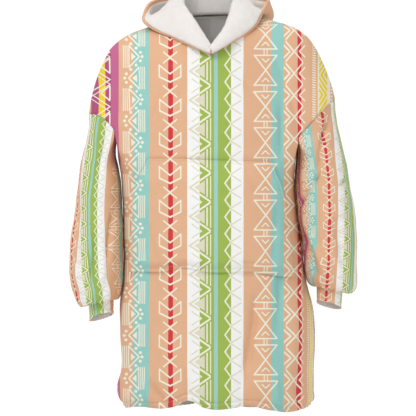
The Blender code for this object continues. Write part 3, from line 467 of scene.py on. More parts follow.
def shoulder_shares(side: Side) -> tuple[np.ndarray, np.ndarray]:
    """How far out, and how far down, the shoulder's line has gone at each share of its length.

    Args:
        side: The arm side.

    Returns:
        The shares out, then the shares down.
    """
    table = np.array(SHOULDER_LEFT if side is LEFT else SHOULDER_RIGHT)
    line = curve_through(np.column_stack([table[:, 0], np.zeros(len(table)), table[:, 1]]))
    line = sample(line, np.linspace(0, 1, DENSE))
    out = (line[:, 0] - line[0, 0]) / (line[-1, 0] - line[0, 0])
    down = (line[:, 2] - line[0, 2]) / (line[-1, 2] - line[0, 2])
    return out, down


def yoke_shares(columns: np.ndarray, face: int) -> np.ndarray:
    """Where each column meets the neckline: by its place along the yoke's lower edge.

    Args:
        columns: Column numbers.
        face: -1 for the front, 1 for the back.

    Returns:
        The share of the neckline at each column.
    """
    fine = np.linspace(0, 3, 3 * DENSE)
    length = lengths_along(yoke_edge(fine, face))
    middle = np.interp(1.5, fine, length)
    at = np.interp(columns, fine, length)
    left = 0.5 * at / middle
    right = 0.5 + 0.5 * (at - middle) / (length[-1] - middle)
    return np.where(columns <= 1.5, left, right)


def yoke_rows(columns: np.ndarray, rows: np.ndarray, face: int) -> np.ndarray:
    """Rows of the yoke from its lower edge, share 0, up over the shoulders to the neckline.

    Args:
        columns: Column numbers.
        rows: The share of the way up of each row.
        face: -1 for the front, 1 for the back.

    Returns:
        The points, row by row.
    """
    low = yoke_edge(columns, face)
    high = neckline(yoke_shares(columns, face), face)
    angle = np.linspace(0, np.pi / 2, DENSE)
    easy_out = np.sin(angle) ** 1.6
    easy_down = 1 - np.cos(angle) ** 1.6
    points = np.zeros((len(rows), len(columns), 3))
    for index in range(len(columns)):
        side = side_of(low[index, 0])
        out, down = shoulder_shares(side)
        weight = min(abs(low[index, 0]) / side.arm_width, 1.0) ** 2
        out = weight * out + (1 - weight) * easy_out
        down = weight * down + (1 - weight) * easy_down
        step = low[index] - high[index]
        line = high[index] + np.stack([out * step[0], out * step[1], down * step[2]], axis=1)
        points[:, index] = sample(line, 1 - np.asarray(rows))
    return points


def torso_ring(z: float, columns: np.ndarray, face: int) -> np.ndarray:
    """One level of the body below the arms, for columns 0 to 3 from side seam to side seam.

    Args:
        z: The level's height.
        columns: Column numbers.
        face: -1 for the front, 1 for the back.

    Returns:
        One point for each column.
    """
    table = np.array(TORSO_SECTIONS)
    left, right, front, back, square = curve_at([-z], -table[:, 0], table[:, 1:])[0]
    depth = front if face < 0 else back
    angle = np.linspace(0, np.pi, 4 * DENSE)
    x = -power(np.cos(angle), 2 / square)
    ring = np.stack(
        [np.where(x < 0, x * left, x * right), face * depth * np.sin(angle) ** (2 / square),
         np.full(len(angle), z)], axis=1
    )
    length = lengths_along(ring)[-1]
    share_left = fork_share(LEFT, face) / length
    share_right = 1 - fork_share(RIGHT, face) / length
    shares = np.interp(columns, [0, 1, 2, 3], [0, share_left, share_right, 1])
    return sample(ring, shares)


def fork_share(side: Side, face: int) -> float:
    """The length from the side seam to the fork."""
    return lengths_along(underarm(side, face))[-1]


def hem_height(x: np.ndarray, face: int) -> np.ndarray:
    """The hem's height at each width."""
    table = np.array(HEM_FRONT if face < 0 else HEM_BACK)
    return curve_at(x, table[:, 0], table[:, 1])


def torso_rows(columns: np.ndarray, rows: np.ndarray, face: int) -> np.ndarray:
    """Rows of the body from the underarm level, share 0, down to the hem, share 1.

    Args:
        columns: Column numbers.
        rows: The share of the way down of each row.
        face: -1 for the front, 1 for the back.

    Returns:
        The points, row by row.
    """
    top = torso_top(columns, face)
    end = torso_ring(TORSO_SECTIONS[-1].z, columns, face)
    hem = hem_height(end[:, 0], face)
    points = np.zeros((len(rows), len(columns), 3))
    for index, share in enumerate(rows):
        level = TORSO_SECTIONS[0].z + share * (TORSO_SECTIONS[-1].z - TORSO_SECTIONS[0].z)
        ring = torso_ring(level, columns, face)
        blend = smoothstep((TORSO_SECTIONS[0].z - level) / UNDERARM_BLEND)
        points[index] = top + blend * (ring - top)
        points[index, :, 2] = top[:, 2] + share * (hem - top[:, 2])
    return points


def armhole_ring(side: Side) -> list[np.ndarray]:
    """The closed seam of a sleeve, columns 0 to 4: top, front fork, underarm, back fork, top."""
    return [
        armhole_arc(side, -1), underarm(side, -1)[::-1], underarm(side, 1), armhole_arc(side, 1)[::-1]
    ]


def ring_shares(side: Side, columns: np.ndarray) -> np.ndarray:
    """The share of the sleeve's front half, 0 to 1, and of its back half, 1 to 2, at each column.

    Args:
        side: The arm side.
        columns: Column numbers.

    Returns:
        One share for each column.
    """
    parts = armhole_ring(side)
    lengths = [lengths_along(part)[-1] for part in parts]
    front = lengths[0] / (lengths[0] + lengths[1])
    back = lengths[2] / (lengths[2] + lengths[3])
    return np.interp(columns, [0, 1, 2, 3, 4], [0, front, 1, 1 + back, 2])


def sleeve_ring(side: Side, level: Sequence[float], shares: np.ndarray) -> np.ndarray:
    """A level of the sleeve, where shares 0 and 2 are its outer side and 1 is its inner side.

    Args:
        side: The arm side.
        level: The level's sizes.
        shares: Shares of the way round.

    Returns:
        One point for each share.
    """
    z, inner, outer, front, back, drop = level
    angle = np.linspace(0, np.pi, 2 * DENSE)
    middle = (front + back) / 2
    depth = (back - front) / 2
    out = power(np.cos(angle), 2 / SLEEVE_SQUARE)
    deep = np.sin(angle) ** (2 / SLEEVE_SQUARE)
    x = side.sign * ((inner + outer) / 2 + (outer - inner) / 2 * out)
    height = z - drop * (out + 1) / 2
    front_half = np.stack([x, middle - depth * deep, height], axis=1)
    back_half = np.stack([x, middle + depth * deep, height], axis=1)[::-1]
    near = sample(front_half, np.clip(shares, 0, 1))
    far = sample(back_half, np.clip(shares - 1, 0, 1))
    return np.where((shares <= 1)[:, None], near, far)


def sleeve_rows(side: Side, table: Sequence[Level], columns: np.ndarray, rows: np.ndarray) -> np.ndarray:
    """Rows of a sleeve from the armhole's seam, share 0, to the cuff's seam, share 1.

    Args:
        side: The arm side.
        table: The sleeve's levels.
        columns: Column numbers.
        rows: The share of the way down of each row.

    Returns:
        The points, row by row.
    """
    levels = np.array(table)
    knots = lengths_along(levels[:, [0, 2, 4]])
    knots = knots / knots[-1]
    seam = split_columns(columns, armhole_ring(side))
    shares = ring_shares(side, columns)
    points = np.zeros((len(rows), len(columns), 3))
    for index, row in enumerate(rows):
        level = curve_at([row], knots, levels)[0]
        ring = sleeve_ring(side, level, shares)
        blend = smoothstep(row / SLEEVE_BLEND)
        placed = seam + [0, 0, level[0] - levels[0, 0]]
        points[index] = placed + blend * (ring - placed)
        gather = smoothstep((row - GATHER_START) / (1 - GATHER_START)) * smoothstep((1 - row) / 0.06)
        middle = points[index].mean(axis=0)
        spoke = points[index, :, :2] - middle[:2]
        spoke /= np.linalg.norm(spoke, axis=1)[:, None]
        wave = GATHER_DEPTH * gather * np.sin(np.pi * GATHERS * shares + np.sin(np.pi * shares))
        points[index, :, :2] += spoke * wave[:, None]
    return points


def cuff_rows(cuff: Cuff, sleeve_end: np.ndarray, rows: np.ndarray, shares: np.ndarray) -> np.ndarray:
    """Rows of a cuff from just under the sleeve's end, share 0, to its own lower edge, share 1.

    Args:
        cuff: The cuff's sizes.
        sleeve_end: The sleeve's last row.
        rows: The share of the way down of each row.
        shares: Shares of the way round.

    Returns:
        The points, row by row.
    """
    side = LEFT if cuff.side < 0 else RIGHT
    level = Level(cuff.z, cuff.inner, cuff.outer, cuff.front, cuff.back, cuff.drop)
    end = sleeve_ring(side, level, shares)
    end[:, 2] -= cuff.tip * (end[:, 1] - cuff.front) / (cuff.back - cuff.front) * 2
    start = sleeve_end.copy()
    middle = start.mean(axis=0)
    inward = middle[:2] - start[:, :2]
    start[:, :2] += inward / np.linalg.norm(inward, axis=1)[:, None] * SEAM_GAP * 1.5
    return np.stack([start + share * (end - start) for share in rows])


# Folds are soft troughs and ridges that push the front and back cloth in or out.


def fold_push(points: np.ndarray, face: int, folds: Sequence[Fold] = FOLDS) -> np.ndarray:
    """How far the largest folds push each point of the front or the back.

    Args:
        points: The points, as one list.
        face: -1 for the front, 1 for the back.
        folds: The folds.

    Returns:
        The push at each point, outwards where it is above 0.
    """
    push = np.zeros(len(points))
    for fold in folds:
        if fold.face != face:
            continue
        start = np.array([fold.x0, fold.z0])
        run = np.array([fold.x1, fold.z1]) - start
        place = points[:, [0, 2]] - start
        along = place @ run / (run @ run)
        away = np.linalg.norm(place - np.clip(along, 0, 1)[:, None] * run, axis=1)
        fade = smoothstep(1.15 - np.abs(along - 0.5) * 1.4)
        push += fold.depth * fade * np.exp(-((away / (fold.width / 2)) ** 2))
    return push


def crowded(share: np.ndarray) -> np.ndarray:
    """Shares from 0 to 1, closer together near both ends, where the front turns to the side."""
    return share - FRONT_CROWDING * np.sin(2 * np.pi * share)


def pocket_limits(z: float) -> tuple[float, float]:
    """The patch's left and right edges at a height.

    Args:
        z: The height.

    Returns:
        The left edge's width, then the right one's.
    """
    table = np.array(POCKET_EDGE)
    left = np.interp(-z, -table[:, 0], table[:, 1])
    right = np.interp(-z, -table[:, 0], table[:, 2])
    return -left, right


def pocket_bulge(across: float, down: float, z: float) -> float:
    """How far the patch stands off the front: nothing at its seams, most at its hand openings.

    Args:
        across: The share of the way across.
        down: The share of the way down.
        z: The height.

    Returns:
        The lift, in metres.
    """
    free = smoothstep((POCKET_FREE_Z[0] - z) / 0.03) * smoothstep((z - POCKET_FREE_Z[1]) / 0.05)
    sewn = 1 - np.abs(2 * across - 1) ** 6
    sides = sewn + (1 - sewn) * 0.75 * free
    ends = np.minimum(smoothstep(down / 0.22), smoothstep((1 - down) / 0.10))
    return POCKET_BULGE * sides * ends


def hood_seam(sign: int, along: np.ndarray) -> np.ndarray:
    """The hood's seam on the neckline: the front half of the way, then the back half.

    Args:
        sign: -1 for the left half, 1 for the right one.
        along: Shares of the way round, 0 at the front tip.

    Returns:
        One point for each share.
    """
    front = neckline_half(sign, -1)[::-1]
    back = neckline_half(sign, 1)
    line = np.vstack([front, back[1:]])
    point = sample(line, along)
    point[:, 2] += HOOD_SEAM_LIFT
    return point


def hood_line(seam: np.ndarray, rib: Rib, sign: int) -> np.ndarray:
    """One rib from its seam: the rows up to the roll, those of the lining's fall, then the edge's.

    Args:
        seam: The rib's point on the seam.
        rib: The rib.
        sign: -1 for the left half, 1 for the right one.

    Returns:
        The rib's points, one for each row.
    """
    cross = np.array([rib.roll, rib.fall, rib.turn, rib.rise, rib.edge])
    cross[:, 0] *= sign
    controls = np.vstack([seam, seam + HOOD_STAND_SHARE * (cross[0] - seam), cross])
    knots = lengths_along(controls)
    stand = curve_at(np.linspace(0, knots[2], DENSE), knots, controls)
    fall = curve_at(np.linspace(knots[2], knots[-1], 4 * DENSE), knots, controls)
    length = lengths_along(fall)[-1]
    band = min(HOOD_EDGE_BAND, 0.35 * length) / length
    up = 1 - np.linspace(1, 0, HOOD_STAND_ROWS + 1)[:-1] ** HOOD_ROLL_CROWDING
    lined = (1 - band) * np.linspace(0, 1, HOOD_FALL_ROWS + 1) ** HOOD_ROLL_CROWDING
    rest = [1 - share * band for share in HOOD_BAND_SHARES]
    return np.vstack([sample(stand, up), sample(fall, np.concatenate([lined, rest]))])


def hood_rows(sign: int, table: Sequence[Rib], columns: np.ndarray) -> np.ndarray:
    """The face between the hood's shell and lining. Columns run from the front tip to the back.

    Args:
        sign: -1 for the left half, 1 for the right one.
        table: The half's ribs.
        columns: Shares of the way round of each column.

    Returns:
        The points, column by column.
    """
    along = np.array([rib.along for rib in table])
    seam = hood_seam(sign, along)
    lines = np.array([hood_line(seam[index], rib, sign) for index, rib in enumerate(table)])
    flat = curve_at(columns, along, lines.reshape(len(table), -1))
    grid = flat.reshape(len(columns), -1, 3)
    grid[0, :, 0] = sign * SEAM_GAP
    grid[-1, :, 0] = sign * SEAM_GAP
    grid[:, 0] = hood_seam(sign, columns)
    grid[0, 0, 0] = grid[-1, 0, 0] = sign * SEAM_GAP
    return grid


def directions(grid: np.ndarray) -> np.ndarray:
    """The direction of each row of points in a grid, halfway between its two neighbours'.

    Args:
        grid: The points.

    Returns:
        One direction for each point.
    """
    step = np.diff(grid, axis=0)
    step /= np.linalg.norm(step, axis=2)[:, :, None]
    return np.concatenate([step[:1], step[1:] + step[:-1], step[-1:]])


def hood_normals(grid: np.ndarray, sign: int) -> np.ndarray:
    """The directions from the shell towards the lining, level across the middle seam.

    Args:
        grid: The points, column by column.
        sign: -1 for the left half, 1 for the right one.

    Returns:
        One unit direction for each point.
    """
    across = directions(grid)
    along = directions(grid.transpose(1, 0, 2)).transpose(1, 0, 2)
    normal = sign * np.cross(along, across)
    normal /= np.linalg.norm(normal, axis=2)[:, :, None]
    normal[0, :, 0] = normal[-1, :, 0] = 0
    return normal / np.linalg.norm(normal, axis=2)[:, :, None]


# Smaller creases than those of the solids, in the same form.
CREASES = tuple(Fold(*row) for row in (
    (-1, 0.158, -0.19, 0.16, -0.285, 0.01, -0.0049),
    (-1, 0.1, -0.618, 0.092, -0.7, 0.011, -0.0056),
    (-1, 0.092, -0.7, 0.076, -0.775, 0.013, -0.0049),
    (-1, 0.153, -0.555, 0.152, -0.64, 0.011, -0.0049), (-1, 0.19, -0.64, 0.182, -0.78, 0.03, 0.0056),
    (-1, -0.205, -0.29, -0.19, -0.345, 0.012, -0.0042),
    (-1, -0.135, -0.805, -0.105, -0.85, 0.012, -0.0056),
    (-1, -0.16, -0.78, -0.135, -0.845, 0.012, 0.0042),
    (-1, -0.058, -0.78, -0.05, -0.85, 0.014, -0.0063),
    (-1, 0.06, -0.8, 0.072, -0.855, 0.016, -0.0049), (-1, 0.14, -0.78, 0.15, -0.86, 0.018, 0.0049),
    (-1, 0.19, -0.8, 0.2, -0.86, 0.012, -0.0049),
    (-1, -0.11, -0.16, -0.15, -0.27, 0.02, -0.0042),
    (-1, -0.16, -0.11, -0.185, -0.2, 0.018, -0.0042),
    (-1, 0.06, -0.11, 0.115, -0.18, 0.022, -0.0035),
    (-1, -0.04, -0.12, -0.09, -0.19, 0.02, -0.0028),
    (1, -0.15, -0.17, -0.11, -0.33, 0.02, -0.0063),
    (1, 0.15, -0.16, 0.12, -0.32, 0.02, -0.0063),
    (1, -0.08, -0.24, -0.06, -0.42, 0.022, -0.0049),
    (1, 0.07, -0.23, 0.06, -0.4, 0.022, -0.0049), (1, 0.0, -0.56, 0.01, -0.84, 0.024, -0.0063),
    (1, 0.09, -0.6, 0.08, -0.84, 0.02, -0.0056),
    (1, -0.1, -0.64, -0.085, -0.845, 0.02, -0.0056),
))
POCKET_CREASES = tuple(Fold(*row) for row in (
    (-1, 0.04, -0.532, 0.108, -0.538, 0.011, -0.003),
    (-1, -0.165, -0.556, -0.06, -0.542, 0.013, -0.003),
    (-1, 0.118, -0.5, 0.16, -0.552, 0.013, -0.003),
    (-1, -0.15, -0.44, -0.12, -0.545, 0.018, -0.0035),
    (-1, 0.15, -0.4, 0.14, -0.53, 0.018, -0.0035),
    (-1, 0.08, -0.33, 0.12, -0.4, 0.018, -0.0025),
    (-1, -0.09, -0.325, -0.125, -0.4, 0.018, -0.0025),
    (-1, -0.04, -0.5, 0.03, -0.545, 0.016, -0.002),
))
SLEEVE_CREASES = tuple(Fold(*row) for row in (
    (-1, 0.264, -0.207, 0.248, -0.27, 0.011, -0.0111),
    (-1, 0.248, -0.27, 0.234, -0.33, 0.011, -0.0101),
    (-1, 0.247, -0.332, 0.226, -0.364, 0.01, -0.0111),
    (-1, 0.226, -0.364, 0.2, -0.41, 0.01, -0.0101),
    (-1, 0.303, -0.345, 0.29, -0.362, 0.009, -0.0081),
    (-1, 0.2, -0.455, 0.24, -0.56, 0.014, -0.0101), (-1, 0.225, -0.47, 0.262, -0.565, 0.012, 0.007),
    (-1, 0.285, -0.44, 0.296, -0.55, 0.015, -0.0081), (-1, 0.262, -0.42, 0.276, -0.52, 0.015, 0.0061),
    (-1, -0.3, -0.37, -0.306, -0.53, 0.015, -0.0101),
    (-1, -0.232, -0.24, -0.252, -0.33, 0.012, -0.0091),
    (-1, -0.262, -0.27, -0.27, -0.38, 0.014, -0.007),
    (-1, -0.222, -0.42, -0.24, -0.54, 0.014, -0.0091),
    (-1, -0.262, -0.47, -0.272, -0.59, 0.012, -0.0091),
    (-1, -0.24, -0.5, -0.248, -0.595, 0.01, 0.0061),
    (1, 0.262, -0.23, 0.24, -0.35, 0.015, -0.0101), (1, 0.285, -0.33, 0.262, -0.47, 0.015, -0.0101),
    (1, 0.235, -0.42, 0.262, -0.555, 0.014, -0.0091),
    (1, -0.25, -0.24, -0.232, -0.35, 0.015, -0.0101),
    (1, -0.285, -0.33, -0.262, -0.47, 0.015, -0.0101),
    (1, -0.235, -0.44, -0.262, -0.585, 0.014, -0.0091),
))

# Where the middle of each sleeve's print runs, as seen from the front: height and distance out.
PRINT_LINE_LEFT = (
    (-0.190, 0.2450), (-0.209, 0.2504), (-0.259, 0.2590), (-0.315, 0.2680), (-0.371, 0.2730),
    (-0.428, 0.2740), (-0.506, 0.2730), (-0.563, 0.2705), (-0.596, 0.2630), (-0.640, 0.2590),
)
PRINT_LINE_RIGHT = (
    (-0.160, 0.2360), (-0.209, 0.2460), (-0.275, 0.2555), (-0.349, 0.2633), (-0.428, 0.2655),
    (-0.506, 0.2644), (-0.574, 0.2604), (-0.612, 0.2576), (-0.650, 0.2560),
)


class Face(Enum):
    """Which side of the garment a panel is cut for."""

    FRONT = -1
    BACK = 1


class Held(Enum):
    """How a piece of cloth is held, in the frame's own words."""

    DRAPED = "draped"
    GATHERED = "gathered"


@dataclass
class Skin:
    """A grid of points, with the place of each on the printed cloth.

    Rows run down the cloth and columns run across it. The chart's places are in chart squares.
    """

    points: np.ndarray
    flip: bool = False
    chart: np.ndarray = field(init=False, repr=False)

    def __post_init__(self) -> None:
        """Starts every point at the chart's own middle."""
        self.chart = np.zeros(self.points.shape[:2] + (2,))

    def normals(self) -> np.ndarray:
        """The outward direction at each point.

        Returns:
            One unit direction for each point.
        """
        across = np.gradient(self.points, axis=1)
        down = np.gradient(self.points, axis=0)
        normal = np.cross(down, across) * (-1 if self.flip else 1)
        length = np.linalg.norm(normal, axis=2)[:, :, None]
        return normal / np.maximum(length, 1e-12)

    def push(self, amount: np.ndarray) -> None:
        """Moves every point out along its normal.

        Args:
            amount: How far each point moves, in metres.
        """
        self.points = self.points + self.normals() * amount[:, :, None]

    def across(self) -> np.ndarray:
        """The length along each row up to each point."""
        return np.array([lengths_along(row) for row in self.points])

    def down(self) -> np.ndarray:
        """The length along each column up to each point."""
        return np.array([lengths_along(line) for line in self.points.transpose(1, 0, 2)]).T


def pocket_distance(points: np.ndarray) -> np.ndarray:
    """How far points of the front are from the pocket's outline, as seen from the front.

    Args:
        points: A grid of points.

    Returns:
        The distance at each point.
    """
    x, z = points[:, :, 0], points[:, :, 2]
    top, bottom = POCKET_EDGE[0].z, POCKET_EDGE[-1].z - POCKET_SAG
    inside = (z < top) & (z > bottom)
    left, right = pocket_limits(np.clip(z, bottom, top))
    side = np.minimum(np.abs(x - left), np.abs(x - right))
    ends = np.minimum(np.abs(z - top), np.abs(z - bottom))
    beyond = np.maximum(np.maximum(left - x, x - right), 0)
    return np.where(inside, np.minimum(side, np.hypot(ends, beyond)), np.hypot(ends, beyond))


def bump(distance: np.ndarray, width: float) -> np.ndarray:
    """A soft hump, 1 at no distance and nearly 0 past twice its width."""
    return np.exp(-((distance / width) ** 2))


def rumple(points: np.ndarray, grain: float, seed: float) -> np.ndarray:
    """Smooth unevenness of cloth, from -1 to 1.

    Args:
        points: Points of a grid.
        grain: The size of one hollow, in metres.
        seed: Sets one piece's unevenness apart from another's.

    Returns:
        One value for each point.
    """
    shift = Vector((seed, 2.3 * seed, 0.7 * seed))
    flat = [noise.noise(Vector(point) / grain + shift) for point in points.reshape(-1, 3)]
    return np.array(flat).reshape(points.shape[:2])


def crease(skin: Skin, face: int, folds: Sequence[Fold]) -> None:
    """Presses creases into a skin from the front or from the back.

    Args:
        skin: The skin, changed in place.
        face: -1 for the front, 1 for the back.
        folds: The creases.
    """
    amount = fold_push(skin.points.reshape(-1, 3), face, folds).reshape(skin.points.shape[:2])
    facing = np.clip(skin.normals()[:, :, 1] * face * 2.5, 0, 1)
    skin.push(amount * facing)


def printed(u: np.ndarray, v: np.ndarray) -> np.ndarray:
    """The chart's places of points at widths u and heights v, which are in metres."""
    return np.stack([u, v], axis=2) / CHART_SQUARE


def spread(u: np.ndarray, v: np.ndarray, depth: np.ndarray) -> np.ndarray:
    """The chart's places of points, which nearer cloth has a little further from the middle.

    Args:
        u: Widths.
        v: Heights.
        depth: How far back each point lies.

    Returns:
        The places, so that the stripes keep the spacing they were charted with.
    """
    scale = 1 / (1 + depth / CHART_DISTANCE)
    x, z = CHART_MIDDLE
    return printed(x + (u - x) * scale, z + (v - z) * scale)


class ClothMesh:
    """Builds one piece of cloth from skins, as a bmesh grid that is bent to each skin."""

    def __init__(self, name: str) -> None:
        """Starts an empty piece.

        Args:
            name: The piece's name in the scene.
        """
        self.name = name
        self.mesh = bmesh.new()
        self.print_layer = self.mesh.loops.layers.uv.new("print")

    def add(self, skin: Skin, trim_row: int | None = None) -> None:
        """Adds a skin as a grid of faces with its places on the printed cloth.

        Args:
            skin: The skin to add.
            trim_row: The first row that has the second material on its outer side too.
        """
        rows, columns = skin.points.shape[:2]
        made = bmesh.ops.create_grid(
            self.mesh, x_segments=columns - 1, y_segments=rows - 1, size=1.0
        )["verts"]
        place = {}
        for vert in made:
            column = round((vert.co.x + 1) / 2 * (columns - 1))
            row = round((1 - vert.co.y) / 2 * (rows - 1))
            place[vert] = (row, column)
        faces = {face for vert in made for face in vert.link_faces}
        for face in faces:
            for loop in face.loops:
                loop[self.print_layer].uv = skin.chart[place[loop.vert]]
            if trim_row is not None and min(place[vert][0] for vert in face.verts) >= trim_row:
                face.material_index = 1
        for vert, spot in place.items():
            vert.co = skin.points[spot]
        if skin.flip:
            bmesh.ops.reverse_faces(self.mesh, faces=sorted(faces, key=lambda face: face.index))

    def finish(self, materials: Sequence[bpy.types.Material]) -> bpy.types.Object:
        """Welds the skins into one and makes the object.

        Args:
            materials: The outer side's material, then the inner side's.

        Returns:
            The new object.
        """
        bmesh.ops.remove_doubles(self.mesh, verts=self.mesh.verts[:], dist=1e-5)
        for face in self.mesh.faces:
            face.smooth = True
        data = bpy.data.meshes.new(self.name)
        self.mesh.to_mesh(data)
        self.mesh.free()
        for material in materials:
            data.materials.append(material)
        piece = bpy.data.objects.new(self.name, data)
        bpy.context.scene.collection.objects.link(piece)
        return piece


def thicken(piece: bpy.types.Object, wall: float) -> None:
    """Gives a skin its wall, inwards, with the second material on its inner side.

    Args:
        piece: The skin's object, changed in place.
        wall: The cloth's thickness, in metres.
    """
    solid = piece.modifiers.new("wall", "SOLIDIFY")
    solid.thickness = wall
    solid.offset = -1.0
    solid.use_even_offset = False
    solid.use_quality_normals = True
    solid.material_offset = min(1, len(piece.data.materials) - 1)
    solid.material_offset_rim = 0


def skin_area(piece: bpy.types.Object) -> float:
    """The area of a piece's mesh before its wall, in square metres."""
    return sum(face.area for face in piece.data.polygons)


def beside(direction: np.ndarray) -> np.ndarray:
    """A unit direction at right angles to each given one."""
    side = np.cross(direction, [0.31, 0.53, 0.79])
    return side / np.linalg.norm(side, axis=1)[:, None]


def repeated(
    name: str, form: bmesh.types.BMesh, places: np.ndarray, axes: Sequence[np.ndarray],
    material: bpy.types.Material,
) -> bpy.types.Object:
    """One object with the same small form at many places.

    Args:
        name: The object's name.
        form: The form, which is used up.
        places: Where each copy's middle lies.
        axes: Three directions for each copy, as long as the copy's half-sizes.
        material: The material.

    Returns:
        The new object.
    """
    form.verts.index_update()
    own = np.array([vert.co[:] for vert in form.verts])
    faces = np.array([[vert.index for vert in face.verts] for face in form.faces])
    form.free()
    points = places[:, None] + sum(own[None, :, k, None] * axes[k][:, None] for k in range(3))
    shifted = faces[None] + (np.arange(len(places)) * len(own))[:, None, None]
    data = bpy.data.meshes.new(name)
    data.from_pydata(points.reshape(-1, 3).tolist(), [], shifted.reshape(-1, faces.shape[1]).tolist())
    data.shade_smooth()
    data.materials.append(material)
    piece = bpy.data.objects.new(name, data)
    bpy.context.scene.collection.objects.link(piece)
    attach(piece, "root")
    return piece


@dataclass(frozen=True)
class Thread:
    """A line of stitches: their spacing and half-sizes, in metres."""

    pitch: float = 0.0038
    half_length: float = 0.00135
    half_width: float = 0.00042

    def sew(
        self, name: str, slot: str, line: np.ndarray, lean: np.ndarray, material: bpy.types.Material
    ) -> bpy.types.Object:
        """Lays stitches along a line on the cloth.

        Args:
            name: The object's name.
            slot: Not used.
            line: Points of the line.
            lean: The cloth's outward direction at each point.
            material: The thread's material.

        Returns:
            The stitches as one object.
        """
        length = lengths_along(line)
        at = np.arange(self.pitch / 2, length[-1], self.pitch)
        places = np.stack([np.interp(at, length, line[:, k]) for k in range(3)], axis=1)
        ahead = np.stack([np.interp(at + 0.001, length, line[:, k]) for k in range(3)], axis=1)
        along = ahead - places
        along /= np.maximum(np.linalg.norm(along, axis=1)[:, None], 1e-9)
        out = np.stack([np.interp(at, length, lean[:, k]) for k in range(3)], axis=1)
        side = np.cross(out, along)
        form = bmesh.new()
        bmesh.ops.create_icosphere(form, subdivisions=1, radius=1.0)
        axes = (along * self.half_length, side * self.half_width, out * self.half_width)
        piece = repeated(name, form, places, axes, material)
        return piece


def sown(skin: Skin, rows: tuple[float, float], count: int, seed: int) -> tuple[np.ndarray, np.ndarray]:
    """Scattered points of a skin, and the outward direction at each.

    Args:
        skin: The skin.
        rows: The first and the last row to scatter over.
        count: How many points.
        seed: The scatter's seed.

    Returns:
        The points, then the directions.
    """
    chance = np.random.default_rng(seed)
    lines, columns = skin.points.shape[:2]
    row = chance.uniform(rows[0], min(rows[1], lines - 1.001), count)
    column = chance.uniform(0, columns - 1.001, count)
    i, j = row.astype(int), column.astype(int)
    a, b = (row - i)[:, None], (column - j)[:, None]
    found = []
    for grid in (skin.points, skin.normals()):
        upper = grid[i, j] * (1 - b) + grid[i, j + 1] * b
        lower = grid[i + 1, j] * (1 - b) + grid[i + 1, j + 1] * b
        found.append(upper * (1 - a) + lower * a)
    return found[0], found[1]


@dataclass
class Piece:
    """What every piece of cloth has: its node, its slot, its flat cut and how it is held."""

    name: str
    node: str
    slot: str
    flat: tuple[float, float]
    held: Held = Held.DRAPED

    def attach(
        self, skins: Sequence[Skin], materials: Sequence[bpy.types.Material], wall: float,
        extras: Sequence[bpy.types.Object] = (), trim_row: int | None = None,
    ) -> bpy.types.Object:
        """Makes the piece from its skins, gives it its wall and ties it to the frame.

        Args:
            skins: The outer skins, which are welded where they meet.
            materials: The outer side's material, then the inner side's.
            wall: The cloth's thickness, in metres.
            extras: Not used.
            trim_row: The first row that has the second material on its outer side too.

        Returns:
            The new object.
        """
        cloth = ClothMesh(self.name)
        for skin in skins:
            cloth.add(skin, trim_row)
        piece = cloth.finish(materials)
        area = skin_area(piece)
        thicken(piece, wall)
        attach(piece, "root")
        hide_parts(self.node)
        width, length = self.flat
        min(area, width * length)
        LOG.info("%s: %.4f m2 of cloth, cut from %.2f x %.2f m", self.name, area, width, length)
        return piece


def linear(code: str) -> tuple[float, float, float, float]:
    """A colour of the finished look as the shader takes it.

    Args:
        code: Six hexadecimal digits, red, green and blue.

    Returns:
        The linear red, green, blue and an alpha of 1.
    """
    parts = [int(code[k:k + 2], 16) / 255 for k in (0, 2, 4)]
    red, green, blue = (p / 12.92 if p <= 0.04045 else ((p + 0.055) / 1.055) ** 2.4 for p in parts)
    return red, green, blue, 1.0


class Yarn(Enum):
    """The colours of the print and of the plain cloths."""

    PEACH = "E6B692"
    TEAL = "98CFC7"
    AQUA = "A2D3D0"
    GREEN = "A2BC58"
    WHITE = "F8F8F7"
    CREAM = "F4EFDC"
    BEIGE = "E3DFC6"
    RED = "D84049"
    MAGENTA = "B85583"
    PINK = "C96C95"
    YELLOW = "F2D33C"
    PILE = "F0EBE7"
    THREAD = "EFE4D2"


